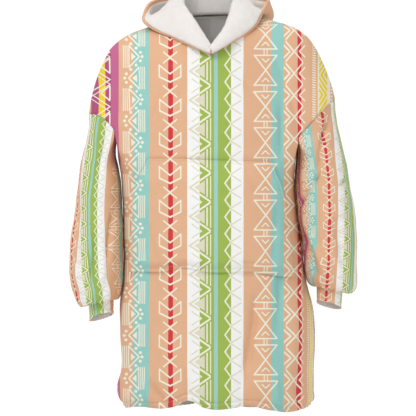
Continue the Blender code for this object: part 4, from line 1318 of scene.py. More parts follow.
class Signal:
    """A number that changes over a surface, worked out by Math nodes in one node tree."""

    def __init__(self, tree: bpy.types.NodeTree, socket: bpy.types.NodeSocket) -> None:
        """Wraps a socket.

        Args:
            tree: The node tree that the socket is in.
            socket: The socket that gives the number.
        """
        self.tree = tree
        self.socket = socket

    def math(self, operation: str, *others: "Signal | float") -> "Signal":
        """The result of one Math node.

        Args:
            operation: The node's operation.
            others: Its second and third inputs.

        Returns:
            The node's result.
        """
        node = self.tree.nodes.new("ShaderNodeMath")
        node.operation = operation
        for index, value in enumerate((self, *others)):
            if isinstance(value, Signal):
                self.tree.links.new(value.socket, node.inputs[index])
            else:
                node.inputs[index].default_value = value
        return Signal(self.tree, node.outputs[0])

    def __add__(self, other: "Signal | float") -> "Signal":
        """The sum."""
        return self.math("ADD", other)

    def __sub__(self, other: "Signal | float") -> "Signal":
        """The difference."""
        return self.math("SUBTRACT", other)

    def __mul__(self, other: "Signal | float") -> "Signal":
        """The product."""
        return self.math("MULTIPLY", other)

    def size(self) -> "Signal":
        """The value without its sign."""
        return self.math("ABSOLUTE")

    def below(self, limit: "Signal | float") -> "Signal":
        """1 where the value is below the limit, and 0 elsewhere."""
        return self.math("LESS_THAN", limit)

    def above(self, limit: "Signal | float") -> "Signal":
        """1 where the value is above the limit, and 0 elsewhere."""
        return self.math("GREATER_THAN", limit)

    def either(self, other: "Signal") -> "Signal":
        """The larger of two masks."""
        return self.math("MAXIMUM", other)

    def swing(self, period: float) -> "Signal":
        """A straight wave between 0 and half a period."""
        return self.math("PINGPONG", period / 2)

    def centred(self, period: float) -> "Signal":
        """The distance, with its sign, from the nearest whole number of periods."""
        return self.math("WRAP", period / 2, -period / 2)

    def between(self, low: float, high: float) -> "Signal":
        """1 where the value lies between two limits."""
        return self.above(low) * self.below(high)

    def near(self, line: "Signal | float", half: float) -> "Signal":
        """1 where the value is within a line's half-width of the line."""
        return (self - line).size().below(half)


# The print's bands, in chart squares from the front's middle line: each band's left edge.
Band = namedtuple("Band", "left yarn")
BANDS = (
    Band(-120.0, Yarn.MAGENTA), Band(-113.0, Yarn.YELLOW), Band(-106.0, Yarn.MAGENTA),
    Band(-100.0, Yarn.PINK), Band(-93.0, Yarn.PEACH), Band(-78.5, Yarn.TEAL), Band(-62.2, Yarn.PEACH),
    Band(-43.2, Yarn.RED), Band(-38.4, Yarn.PEACH), Band(-24.5, Yarn.WHITE), Band(-12.0, Yarn.GREEN),
    Band(2.2, Yarn.AQUA), Band(6.2, Yarn.GREEN), Band(19.3, Yarn.WHITE), Band(31.8, Yarn.PEACH),
    Band(59.5, Yarn.TEAL), Band(71.8, Yarn.PEACH), Band(105.5, Yarn.YELLOW), Band(116.0, Yarn.CREAM),
    Band(119.0, Yarn.PEACH),
)
PRINT_LEFT = BANDS[0].left
PRINT_WIDTH = 244.0
LINE = 0.75


class StripeChart:
    """The striped print as one node group: a place on the chart in, a colour out."""

    NAME = "stripe_chart"
    triangle_period = 42.9
    triangle_start = 31.6
    red_period = 33.75
    red_middle = 40.9
    fin_period = 29.1
    fin_start = 17.0
    white_period = 16.87
    diamond_period = 21.9
    diamond_start = 48.4
    figure_period = 27.3
    figure_start = 13.45

    def __init__(self) -> None:
        """Starts the group and its inputs."""
        self.tree = bpy.data.node_groups.new(self.NAME, "ShaderNodeTree")
        for name in ("Across", "Along"):
            self.tree.interface.new_socket(name, in_out="INPUT", socket_type="NodeSocketFloat")
        self.tree.interface.new_socket("Color", in_out="OUTPUT", socket_type="NodeSocketColor")
        inputs = self.tree.nodes.new("NodeGroupInput")
        across = Signal(self.tree, inputs.outputs["Across"])
        self.x = across.math("WRAP", PRINT_LEFT + PRINT_WIDTH, PRINT_LEFT)
        self.y = Signal(self.tree, inputs.outputs["Along"])

    def ground(self) -> bpy.types.NodeSocket:
        """The plain bands' colours.

        Returns:
            The socket with the colour.
        """
        ramp = self.tree.nodes.new("ShaderNodeValToRGB")
        ramp.color_ramp.interpolation = "CONSTANT"
        share = (self.x - PRINT_LEFT) * (1 / PRINT_WIDTH)
        self.tree.links.new(share.socket, ramp.inputs["Fac"])
        stops = ramp.color_ramp.elements
        while len(stops) < len(BANDS):
            stops.new(0.5)
        for stop, band in zip(stops, BANDS):
            stop.position = (band.left - PRINT_LEFT) / PRINT_WIDTH
            stop.color = linear(band.yarn.value)
        return ramp.outputs["Color"]

    def over(self, under: bpy.types.NodeSocket, mask: Signal, yarn: Yarn) -> bpy.types.NodeSocket:
        """Prints one colour over another where a mask is 1.

        Args:
            under: The colour beneath.
            mask: Where the new colour shows.
            yarn: The new colour.

        Returns:
            The mixed colour.
        """
        mix = self.tree.nodes.new("ShaderNodeMix")
        mix.data_type = "RGBA"
        self.tree.links.new(mask.socket, mix.inputs["Factor"])
        self.tree.links.new(under, mix.inputs["A"])
        mix.inputs["B"].default_value = linear(yarn.value)
        return mix.outputs["Result"]

    def zigzag(
        self, left: float, width: float, period: float, half: float = LINE, shift: float = 0.0
    ) -> Signal:
        """A zigzag line that runs along the print.

        Args:
            left: The column of its left points.
            width: How far its right points are from them.
            period: The rows from one point to the next.
            half: Half of the line's width.
            shift: Rows to add before the first left point.

        Returns:
            The line's mask.
        """
        return self.x.near((self.y + shift).swing(period) * (2 * width / period) + left, half)

    def barred_triangles(self, turned: bool) -> Signal:
        """Outlined triangles with three bars behind them, which point to the right or to the left.

        Args:
            turned: Whether they point to the left, half a period off.

        Returns:
            The mask of their lines.
        """
        tall, tip = 10.7, 6.0
        out, shift = self.x + 77.5, self.triangle_start
        if turned:
            out, shift = (self.x + 76.6) * -1.0, shift + self.triangle_period / 2
        rise = (self.y + shift).centred(self.triangle_period).size()
        sides = rise.near(out * -1.05 + tip, 1.05) * out.between(-4.9, 6.2)
        base = out.near(-4.6, 0.55) * rise.below(tall)
        core = rise.below(out * -0.9 + 1.9) * out.above(-2.2)
        bars = out.near(-6.5, 0.45).either(out.near(-8.4, 0.45)).either(out.near(-10.2, 0.45))
        return sides.either(base).either(core).either(bars * rise.below(11.3))

    def dot_chain(self) -> Signal:
        """Round dots that wind between the triangles.

        Returns:
            The dots' mask.
        """
        up = self.y + self.triangle_start
        step = up.centred(self.triangle_period / 10)
        turn = (up - step) * (2 * math.pi / self.triangle_period)
        off = self.x + 77.6 - turn.math("COSINE") * 8.7
        return (off * off + step * step).below(2.3)

    def open_books(self) -> Signal:
        """Chevrons with upright sides, and crosses between them, on the red band.

        Returns:
            The mask of their lines.
        """
        out = (self.x + self.red_middle).size()
        up = (self.y + 15.2).centred(self.red_period)
        lines = up.near(out * 0.79, 0.95).either((up + 8.2).near(out * 0.5, 0.95)) * out.below(10.9)
        sides = out.near(10.7, 0.65) * up.between(-3.4, 9.2)
        cross = self.cross_rise().near(out * 0.83, 0.85) * out.below(7.0)
        return lines.either(sides).either(cross)

    def cross_rise(self) -> Signal:
        """How far a row is from the nearest cross on the red band."""
        return (self.y + 32.55).centred(self.red_period).size()

    def red_gaps(self) -> Signal:
        """The peach notches round the crosses, where the red band stops."""
        out = (self.x + self.red_middle).size()
        return self.cross_rise().below(out * 0.83 + 1.6) * out.below(2.75)

    def fins(self) -> Signal:
        """Filled triangles that point left, and the double zigzag round them.

        Returns:
            Their mask.
        """
        up = (self.y + self.fin_start).centred(self.fin_period).size()
        filled = up.below((self.x + 16.8) * 0.67) * self.x.below(-6.3)
        return filled.either(self.fin_lines())

    def fin_lines(self) -> Signal:
        """The double zigzag round the fins.

        Returns:
            The zigzag's mask.
        """
        up = (self.y + self.fin_start).centred(self.fin_period).size()
        wide = up.near((self.x + 21.3) * 0.68, 1.15) * self.x.below(-0.2)
        between = (self.y + 2.45).centred(self.fin_period).size()
        thin = between.near((self.x + 9.5) * -0.72, 0.75) * self.x.between(-19.5, -8.6)
        return wide.either(thin)

    def arrows(self) -> Signal:
        """The zigzag where it crosses the green band, and two upright lines that close it.

        Returns:
            The mask of their lines.
        """
        up = (self.y + self.fin_start).centred(self.fin_period).size()
        near = self.x.near(-3.9, 0.75) * up.below(9.4)
        far = self.x.near(-0.4, 0.55) * up.below(11.3)
        return near.either(far).either(self.fin_lines() * self.x.above(-12.0))

    def hourglasses(self) -> Signal:
        """Pairs of outlined triangles that meet at their points, over the second teal band.

        Returns:
            The mask of their lines.
        """
        wide, tall = 11.3, 14.9
        out = (self.x - 54.6).size()
        up = (self.y + 45.25).centred(36.2).size()
        sides = out.near(up * (wide / tall), 0.95) * up.below(tall)
        bases = up.near(tall, 0.7) * out.below(wide + 0.6)
        inner = out.near((up - 7.9) * 0.95, 0.85) * up.between(7.6, 11.8)
        ties = out.near(1.5, 0.5) * up.above(tall)
        return sides.either(inner).either(bases).either(ties)

    def diamond_row(self) -> Signal:
        """Thick diamonds beside the second teal band, with chevrons in the gaps on both sides.

        Returns:
            The mask of their lines.
        """
        up = (self.y + self.diamond_start).centred(self.diamond_period).size()
        heavy = up.near((self.x - 83.1) * -1.2, 1.3) * self.x.between(74.6, 83.4)
        light = up.near((self.x - 83.1) * 1.22, 1.0) * self.x.between(82.8, 92.0)
        inner = up.near((self.x - 78.9) * -1.03, 1.25) * self.x.between(72.9, 79.4)
        outer = up.near((self.x - 88.3) * 1.03, 0.9) * self.x.between(88.0, 94.0)
        return heavy.either(light).either(inner).either(outer)

    def wavy_red(self) -> Signal:
        """The narrow red band, which stops inside the outer chevrons."""
        up = (self.y + self.diamond_start).centred(self.diamond_period).size()
        return self.x.between(86.5, 90.3) * up.above((self.x - 88.0) * 1.03)

    def nested(self) -> Signal:
        """Zigzags inside zigzags along the yellow band.

        Returns:
            The mask of their lines.
        """
        up = (self.y + 69.9).swing(40.0)
        lines = (self.x + up * 0.64 - 109.2).centred(4.0).size().below(0.65)
        return (lines * self.x.above(108.0)).either(self.x.near(107.4, 0.6)) * self.x.between(106.0, 118.4)

    def edge_marks(self) -> Signal:
        """The teeth beside the yellow band, and the dots past it.

        Returns:
            Their mask.
        """
        teeth = self.x.between(101.2, 104.8) * (self.y + self.x * 0.25).centred(2.45).size().below(0.62)
        dots = self.x.near(120.5, 0.9) * self.y.centred(3.4).size().below(0.9)
        return teeth.either(dots)

    def left_figures(self) -> Signal:
        """Double zigzags and outlined triangles over the magenta and the first yellow band.

        Returns:
            The mask of their lines.
        """
        first = self.zigzag(-121.5, 20.5, self.figure_period, 0.95, self.figure_start)
        second = self.zigzag(-121.5, 20.5, self.figure_period, 0.75, self.figure_start + 4.75)
        up = (self.y + self.figure_start).centred(self.figure_period).size()
        sides = up.near((self.x + 110.5) * 0.8, 0.9) * self.x.between(-110.5, -101.0)
        base = self.x.near(-101.2, 0.7) * up.below(7.4)
        return first.either(second).either(sides).either(base) * self.x.between(-120.0, -99.6)

    def build(self) -> bpy.types.NodeTree:
        """Puts the bands and the figures together.

        Returns:
            The finished node group.
        """
        colour = self.ground()
        cream = self.left_figures().either(self.hourglasses())
        cream = cream.either(self.barred_triangles(False)).either(self.barred_triangles(True))
        colour = self.over(colour, self.red_gaps(), Yarn.PEACH)
        colour = self.over(colour, cream.either(self.open_books()).either(self.dot_chain()), Yarn.CREAM)
        colour = self.over(colour, self.fins(), Yarn.BEIGE)
        colour = self.over(colour, self.arrows(), Yarn.CREAM)
        colour = self.over(colour, self.zigzag(14.0, 6.0, self.white_period, 0.95, 6.3), Yarn.CREAM)
        up = (self.y + 14.75).centred(self.white_period).size()
        pale = up.near((self.x - 19.5) * 0.64, 0.85) * self.x.between(19.6, 30.3)
        colour = self.over(colour, pale, Yarn.BEIGE)
        colour = self.over(colour, self.wavy_red(), Yarn.RED)
        late = self.diamond_row().either(self.nested()).either(self.edge_marks())
        colour = self.over(colour, late, Yarn.CREAM)
        output = self.tree.nodes.new("NodeGroupOutput")
        self.tree.links.new(colour, output.inputs["Color"])
        return self.tree


def nap_group() -> bpy.types.NodeTree:
    """The brushed nap of a cloth as a node group: a colour in, and colour and height out.

    Returns:
        The group, with inputs Color, Mottle and Grain, and outputs Color and Height.
    """
    tree = bpy.data.node_groups.new("brushed_nap", "ShaderNodeTree")
    tree.interface.new_socket("Color", in_out="INPUT", socket_type="NodeSocketColor")
    tree.interface.new_socket("Mottle", in_out="INPUT", socket_type="NodeSocketFloat")
    tree.interface.new_socket("Grain", in_out="INPUT", socket_type="NodeSocketFloat")
    tree.interface.new_socket("Color", in_out="OUTPUT", socket_type="NodeSocketColor")
    tree.interface.new_socket("Height", in_out="OUTPUT", socket_type="NodeSocketFloat")
    inputs = tree.nodes.new("NodeGroupInput")
    output = tree.nodes.new("NodeGroupOutput")
    place = tree.nodes.new("ShaderNodeTexCoord").outputs["Object"]
    patches = tree.nodes.new("ShaderNodeTexNoise")
    patches.inputs["Scale"].default_value = 38.0
    patches.inputs["Detail"].default_value = 4.0
    patches.inputs["Roughness"].default_value = 0.62
    tree.links.new(place, patches.inputs["Vector"])
    hairs = tree.nodes.new("ShaderNodeTexNoise")
    hairs.inputs["Detail"].default_value = 3.0
    hairs.inputs["Roughness"].default_value = 0.7
    hairs.inputs["Distortion"].default_value = 0.6
    tree.links.new(place, hairs.inputs["Vector"])
    tree.links.new(inputs.outputs["Grain"], hairs.inputs["Scale"])
    shade = (Signal(tree, patches.outputs["Fac"]) - 0.5) * 1.2 + (Signal(tree, hairs.outputs["Fac"]) - 0.5)
    level = shade * Signal(tree, inputs.outputs["Mottle"]) + 1.0
    tone = tree.nodes.new("ShaderNodeHueSaturation")
    tree.links.new(level.socket, tone.inputs["Value"])
    tree.links.new(inputs.outputs["Color"], tone.inputs["Color"])
    tree.links.new(tone.outputs["Color"], output.inputs["Color"])
    height = Signal(tree, hairs.outputs["Fac"]) + Signal(tree, patches.outputs["Fac"]) * 0.5
    tree.links.new(height.socket, output.inputs["Height"])
    return tree


@dataclass(frozen=True)
class Finish:
    """How a cloth's surface looks, apart from its colour."""

    name: str
    mottle: float
    grain: float
    relief: float
    sheen: float
    roughness: float = 0.92
    sheen_roughness: float = 0.45
    specular: float = 0.12
    bump: float = 0.55

    def build(
        self, colour: Callable[[bpy.types.Material], bpy.types.NodeSocket] | Yarn
    ) -> bpy.types.Material:
        """Makes the material.

        Args:
            colour: A plain colour, or a function that adds nodes and gives a colour's socket.

        Returns:
            The new material.
        """
        made = bpy.data.materials.new(self.name)
        made.use_nodes = True
        tree = made.node_tree
        shader = tree.nodes["Principled BSDF"]
        shader.inputs["Roughness"].default_value = self.roughness
        shader.inputs["Sheen Weight"].default_value = self.sheen
        shader.inputs["Sheen Roughness"].default_value = self.sheen_roughness
        shader.inputs["Specular IOR Level"].default_value = self.specular
        nap = tree.nodes.new("ShaderNodeGroup")
        nap.node_tree = bpy.data.node_groups.get("brushed_nap") or nap_group()
        nap.inputs["Mottle"].default_value = self.mottle
        nap.inputs["Grain"].default_value = self.grain
        if isinstance(colour, Yarn):
            nap.inputs["Color"].default_value = linear(colour.value)
        else:
            tree.links.new(colour(made), nap.inputs["Color"])
        tree.links.new(nap.outputs["Color"], shader.inputs["Base Color"])
        relief = tree.nodes.new("ShaderNodeBump")
        relief.inputs["Strength"].default_value = self.bump
        relief.inputs["Distance"].default_value = self.relief
        tree.links.new(nap.outputs["Height"], relief.inputs["Height"])
        tree.links.new(relief.outputs["Normal"], shader.inputs["Normal"])
        return made


@dataclass(frozen=True)
class PrintPlace:
    """Where a piece lies on the print: its scale against the body's, and its shift."""

    scale: float = 1.0
    across: float = 0.0
    along: float = 0.0

    def colour(self, material: bpy.types.Material) -> bpy.types.NodeSocket:
        """Adds the print's nodes to a material.

        Args:
            material: The material.

        Returns:
            The socket with the print's colour.
        """
        tree = material.node_tree
        layer = tree.nodes.new("ShaderNodeUVMap")
        layer.uv_map = "print"
        parts = tree.nodes.new("ShaderNodeSeparateXYZ")
        tree.links.new(layer.outputs["UV"], parts.inputs["Vector"])
        across = Signal(tree, parts.outputs["X"]) * self.scale + self.across
        along = Signal(tree, parts.outputs["Y"]) * self.scale + self.along
        chart = tree.nodes.new("ShaderNodeGroup")
        chart.node_tree = bpy.data.node_groups.get(StripeChart.NAME) or StripeChart().build()
        tree.links.new(across.socket, chart.inputs["Across"])
        tree.links.new(along.socket, chart.inputs["Along"])
        return chart.outputs["Color"]


FLANNEL = Finish("flannel", 0.07, 900.0, 0.0008, 0.06)
PILE = Finish("pile", 0.12, 420.0, 0.0030, 0.15, 1.0)
TRIM = Finish("trim", 0.07, 900.0, 0.0008, 0.06)
THREAD = Finish("thread", 0.05, 1500.0, 0.0004, 0.10)


class Wardrobe:
    """The garment's materials, each made once."""

    def __init__(self) -> None:
        """Makes every material."""
        self.body = FLANNEL.build(PrintPlace().colour)
        self.back = FLANNEL.build(PrintPlace(1.0, 16.0, 9.0).colour)
        self.sleeve_left = FLANNEL.build(PrintPlace(1.9, 4.2, -3.1).colour)
        self.sleeve_right = FLANNEL.build(PrintPlace(1.9, -40.8, -3.7).colour)
        self.hood = FLANNEL.build(PrintPlace(1.0, 40.0, 0.0).colour)
        self.pile = PILE.build(Yarn.PILE)
        self.trim = TRIM.build(Yarn.PEACH)
        self.thread = THREAD.build(Yarn.THREAD)


def crowded_end(count: int, share: float, last: int) -> np.ndarray:
    """Shares from 0 to 1 with finer steps near 1.

    Args:
        count: Steps in the plain stretch.
        share: Where the finer steps begin.
        last: Steps in the finer stretch.

    Returns:
        The shares, both ends included.
    """
    return np.concatenate([np.linspace(0, share, count + 1)[:-1], np.linspace(share, 1, last + 1)])


def columns_of(counts: Sequence[int]) -> np.ndarray:
    """Column numbers: part k has counts[k] steps from k to k + 1."""
    parts = [index + np.linspace(0, 1, count + 1)[:-1] for index, count in enumerate(counts)]
    return np.concatenate(parts + [[len(counts)]])


@dataclass
class BodyPanel(Piece):
    """The front or the back, from the neckline over the shoulders down to the hem."""

    face: Face = Face.FRONT
    arm_columns: int = 26
    chest_columns: int = 112
    side_columns: int = 18
    yoke_rows: int = 44
    torso_rows: int = 96
    hem_rows: int = 22
    flat_front: float = 0.203
    shoulder_share: float = 0.6
    hem_depth: float = 0.015
    seed: float = 3.0
    torso: Skin = field(init=False, repr=False)

    def yoke(self) -> Skin:
        """The part above the underarms, folded as the solids are.

        Returns:
            The yoke's skin, with its places on the print.
        """
        columns = columns_of([self.arm_columns, self.chest_columns, self.arm_columns])
        points = yoke_rows(columns, np.linspace(1, 0, self.yoke_rows + 1), self.face.value)
        points = self.folded(points)
        skin = Skin(points, self.face is Face.BACK)
        length = np.diff(skin.down(), axis=0)
        fall = np.maximum(np.abs(np.diff(points[:, :, 2], axis=0)), self.shoulder_share * length)
        height = points[:, :, 2] * 0 + points[-1:, :, 2]
        height[:-1] += np.cumsum(fall[::-1], axis=0)[::-1]
        skin.chart = spread(points[:, :, 0], height, points[:, :, 1])
        return skin

    def lower(self) -> Skin:
        """The part below the underarms.

        Returns:
            The lower part's skin, with its places on the print.
        """
        columns = columns_of([self.side_columns, self.chest_columns, self.side_columns])
        levels = crowded_end(self.torso_rows, 0.955, self.hem_rows)
        points = self.folded(torso_rows(columns, levels, self.face.value))
        skin = Skin(points, self.face is Face.BACK)
        width = points[:, :, 0] + self.wrapped(skin, levels)
        skin.chart = spread(width, points[:, :, 2], points[:, :, 1])
        return skin

    def folded(self, points: np.ndarray) -> np.ndarray:
        """The points with the solids' own folds, whose side seams stay where they are.

        Args:
            points: A grid of points, changed in place.

        Returns:
            The same points.
        """
        push = fold_push(points.reshape(-1, 3), self.face.value).reshape(points.shape[:2])
        push[:, 0] = push[:, -1] = 0
        points[:, :, 1] += self.face.value * push
        return points

    def wrapped(self, skin: Skin, levels: np.ndarray) -> np.ndarray:
        """How much wider than it looks the cloth is where it turns to the side.

        Args:
            skin: The lower part.
            levels: The share of the way down of each row.

        Returns:
            The extra width at each point, with its side's sign.
        """
        width = skin.points[:, :, 0]
        length = skin.across()
        extra = np.zeros_like(width)
        for row in range(len(width)):
            ends = np.interp([-self.flat_front, self.flat_front], width[row], length[row])
            left = ends[0] - length[row] - (-self.flat_front - width[row])
            right = length[row] - ends[1] - (width[row] - self.flat_front)
            extra[row] = np.maximum(right, 0) * (width[row] > 0) - np.maximum(left, 0) * (width[row] < 0)
        return extra * smoothstep(levels / 0.2)[:, None]

    def relief(self, yoke: Skin, lower: Skin) -> None:
        """Adds creases, unevenness, sunken seams and the turned hem.

        Args:
            yoke: The upper part, changed in place.
            lower: The lower part, changed in place.
        """
        for skin in (yoke, lower):
            across = skin.across()
            seam = np.minimum(across, across[:, -1:] - across)
            crease(skin, self.face.value, CREASES)
            uneven = rumple(skin.points, 0.085, self.seed) * ROUGHLY_UNEVEN
            uneven += rumple(skin.points, 0.034, self.seed + 5) * FINELY_UNEVEN
            calm = smoothstep(seam / 0.03)
            skin.push(uneven * calm - SEAM_DIP * bump(seam, SEAM_WIDTH))
            if self.face is Face.FRONT:
                skin.push(-POCKET_DIP * bump(pocket_distance(skin.points), POCKET_DIP_WIDTH))
        up = lower.down()
        up = up[-1:] - up
        turned = 0.0009 * smoothstep((self.hem_depth - up) / 0.004) * smoothstep(up / 0.003 + 0.3)
        pucker = np.sin(lower.across() / 0.0075 + 2 * np.sin(lower.across() / 0.031))
        groove = -0.0016 * bump(up - self.hem_depth, 0.0024) * (1 + 0.35 * pucker)
        ripple = 0.0007 * pucker * bump(up - self.hem_depth * 0.4, 0.010)
        lower.push(turned + groove + ripple)

    def sew_hem(self, thread: bpy.types.Material) -> None:
        """Lays the hem's stitches.

        Args:
            thread: The thread's material.
        """
        down = self.torso.down()
        normals = self.torso.normals()
        line, lean = [], []
        for column in range(1, down.shape[1] - 1):
            level = down[-1, column] - self.hem_depth
            at = [np.interp(level, down[:, column], self.torso.points[:, column, k]) for k in range(3)]
            line.append(at)
            lean.append(normals[int(np.searchsorted(down[:, column], level)), column])
        Thread().sew(f"{self.name}_stitches", self.slot, np.array(line), np.array(lean), thread)

    def join(self, yoke: Skin, lower: Skin) -> None:
        """Brings the two parts' shared edge together again after their relief.

        Args:
            yoke: The upper part, changed in place.
            lower: The lower part, changed in place.
        """
        start, end = self.arm_columns, self.arm_columns + self.chest_columns
        first = self.side_columns
        span = slice(start, end + 1)
        under = slice(first, first + self.chest_columns + 1)
        middle = (yoke.points[-1, span] + lower.points[0, under]) / 2
        yoke.points[-1, span] = middle
        lower.points[0, under] = middle
        yoke.points[-2, span] = (yoke.points[-3, span] + middle) / 2
        lower.points[1, under] = (lower.points[2, under] + middle) / 2

    def build(self, outer: bpy.types.Material, inner: bpy.types.Material) -> bpy.types.Object:
        """Makes the panel.

        Args:
            outer: The printed side's material.
            inner: The pile side's material.

        Returns:
            The finished piece.
        """
        yoke, lower = self.yoke(), self.lower()
        self.relief(yoke, lower)
        self.join(yoke, lower)
        self.torso = lower
        return self.attach([yoke, lower], [outer, inner], BODY_WALL)


@dataclass
class Sleeve(Piece):
    """One sleeve, from the armhole's seam to the cuff's."""

    side: Side = LEFT
    levels: Sequence[Level] = SLEEVE_LEFT
    columns: int = 36
    rows: int = 120
    pleats: int = 19
    flat_share: float = 0.80
    billow: float = 0.0040
    seed: float = 11.0
    print_line: Sequence[tuple[float, float]] = PRINT_LINE_LEFT

    def skin(self) -> Skin:
        """The sleeve's outer skin with its creases.

        Returns:
            The skin, with its places on the print.
        """
        columns = self.ring_columns()
        rows = crowded_end(self.rows, 0.90, 30)
        points = sleeve_rows(self.side, self.levels, columns, rows)
        skin = Skin(points, self.side is RIGHT)
        shares = ring_shares(self.side, columns)
        skin.chart = printed(self.round(skin), points[:, :, 2])
        for face in (-1, 1):
            own = [fold for fold in SLEEVE_CREASES if fold.x0 * self.side.sign > 0 and fold.face == face]
            crease(skin, face, own)
        self.fill_inner_side(skin, rows)
        self.finer(skin, rows, shares)
        return skin

    def ring_columns(self) -> np.ndarray:
        """Column numbers from the underarm round the back, the outer side and the front."""
        back = 2 + columns_of([self.columns] * 2)[:-1]
        return np.concatenate([back, columns_of([self.columns] * 2)])

    def round(self, skin: Skin) -> np.ndarray:
        """The width along the print: as it looks from the front, and the cloth's own at the sides.

        Args:
            skin: The sleeve's skin.

        Returns:
            The width at each point, 0 on the print's own middle line.
        """
        x = skin.points[:, :, 0]
        length = skin.across()
        start = 2 * self.columns
        heights, places = np.array(self.print_line).T
        line_x = np.interp(-skin.points[:, start:, 2].mean(axis=1), -heights, places) * self.side.sign
        width = np.zeros_like(x)
        for row in range(len(x)):
            line, along = x[row, start:], length[row, start:]
            rising = line[-1] > line[0]
            order = slice(None) if rising else slice(None, None, -1)
            low, high = sorted((line[0], line[-1]))
            middle, reach = (low + high) / 2, (high - low) / 2 * self.flat_share
            limits = np.interp([middle - reach, middle + reach], line[order], along[order])
            flat = np.clip(length[row], min(limits), max(limits))
            seen = np.interp(flat, along, line) - line_x[row]
            width[row] = seen + (length[row] - flat) * (1 if rising else -1)
        return width

    def fill_inner_side(self, skin: Skin, rows: np.ndarray) -> None:
        """Lets the cloth billow towards the body, where the sleeve hangs against it.

        Args:
            skin: The sleeve's skin, changed in place.
            rows: The share of the way down of each row.
        """
        inward = np.clip(-skin.normals()[:, :, 0] * self.side.sign, 0, 1)
        full = smoothstep((rows - 0.12) / 0.2) * smoothstep((1 - rows) / 0.12)
        skin.points[:, :, 0] -= self.side.sign * self.billow * inward * full[:, None]

    def finer(self, skin: Skin, rows: np.ndarray, shares: np.ndarray) -> None:
        """Adds unevenness, the sunken seam at the armhole and the small pleats at the cuff.

        Args:
            skin: The sleeve's skin, changed in place.
            rows: The share of the way down of each row.
            shares: The share of the way round of each column, from 0 to 2.
        """
        down = skin.down()
        calm = smoothstep(down / 0.03) * smoothstep((down[-1:] - down) / 0.02)
        uneven = rumple(skin.points, 0.060, self.seed) * ROUGHLY_UNEVEN
        uneven += rumple(skin.points, 0.022, self.seed + 3) * FINELY_UNEVEN
        uneven[:, -1] = uneven[:, 0]
        gather = smoothstep((rows - 0.74) / 0.18)[:, None]
        wave = np.sin(np.pi * self.pleats * shares + 2.2 * np.sin(np.pi * shares))[None, :]
        tuck = down[-1:] - down
        skin.push(uneven * calm + 0.0013 * gather * wave - SEAM_DIP * bump(down, SEAM_WIDTH))
        skin.push(0.0022 * bump(tuck - 0.012, 0.007) - 0.0030 * bump(tuck, 0.0045))
        skin.points[:, -1] = skin.points[:, 0]

    def build(self, outer: bpy.types.Material, inner: bpy.types.Material) -> bpy.types.Object:
        """Makes the sleeve.

        Args:
            outer: The printed side's material.
            inner: The pile side's material.

        Returns:
            The finished piece.
        """
        return self.attach([self.skin()], [outer, inner], BODY_WALL)


@dataclass
class CuffBand(Piece):
    """One cuff, a short band that the sleeve blouses over."""

    cuff: Cuff = CUFF_LEFT
    side: Side = LEFT
    levels: Sequence[Level] = SLEEVE_LEFT
    like: Sleeve | None = None
    rows: int = 26
    edge: float = 0.008
    outer_face: Skin = field(init=False, repr=False)

    def sew(self, thread: bpy.types.Material) -> None:
        """Lays the stitches round the cuff's edge.

        Args:
            thread: The thread's material.
        """
        skin = self.outer_face
        row = int(np.searchsorted(-(skin.down()[-1] - skin.down()).mean(axis=1), -self.edge))
        Thread().sew(f"{self.name}_stitches", self.slot, skin.points[row], skin.normals()[row], thread)

    def build(self, outer: bpy.types.Material, inner: bpy.types.Material) -> bpy.types.Object:
        """Makes the cuff.

        Args:
            outer: The printed side's material.
            inner: The pile side's material.

        Returns:
            The finished piece.
        """
        columns = self.like.ring_columns()
        shares = ring_shares(self.side, columns)
        end = sleeve_rows(self.side, self.levels, columns, [1.0])[0]
        points = cuff_rows(self.cuff, end, np.linspace(0, 1, self.rows + 1), shares)
        skin = Skin(points, self.side is RIGHT)
        down = skin.down()
        skin.chart = printed(self.like.round(skin), points[:, :, 2])
        up = down[-1:] - down
        wave = np.sin(np.pi * 15 * shares + 1.6 * np.sin(np.pi * shares))[None, :]
        relief = 0.0009 * wave * bump(down, 0.014) - 0.0012 * bump(up - 0.008, 0.0018)
        relief = relief - 0.0030 * bump(down, 0.004)
        skin.push(relief + 0.0007 * bump(up - 0.003, 0.003))
        skin.points[:, -1] = skin.points[:, 0]
        self.outer_face = skin
        return self.attach([skin], [outer, inner], BODY_WALL)


class FrontSurface:
    """Finds the front's point and normal at any width and height."""

    def __init__(self, panel: BodyPanel) -> None:
        """Reads the front's lower part.

        Args:
            panel: The front, before its creases.
        """
        skin = panel.lower()
        self.rows = skin.points
        self.normal = skin.normals()

    def at(self, x: np.ndarray, z: np.ndarray) -> tuple[np.ndarray, np.ndarray]:
        """Points and normals of the front.

        Args:
            x: Widths.
            z: Heights.

        Returns:
            The points, then the normals.
        """
        points, normals = [], []
        heights = self.rows[:, len(self.rows[0]) // 2, 2]
        for width, height in zip(x, z):
            level = float(np.interp(-height, -heights, np.arange(len(heights))))
            upper = min(int(level), len(heights) - 2)
            share = level - upper
            row = self.rows[upper] * (1 - share) + self.rows[upper + 1] * share
            lean = self.normal[upper] * (1 - share) + self.normal[upper + 1] * share
            points.append([np.interp(width, row[:, 0], row[:, k]) for k in range(3)])
            normals.append([np.interp(width, row[:, 0], lean[:, k]) for k in range(3)])
        return np.array(points), np.array(normals)


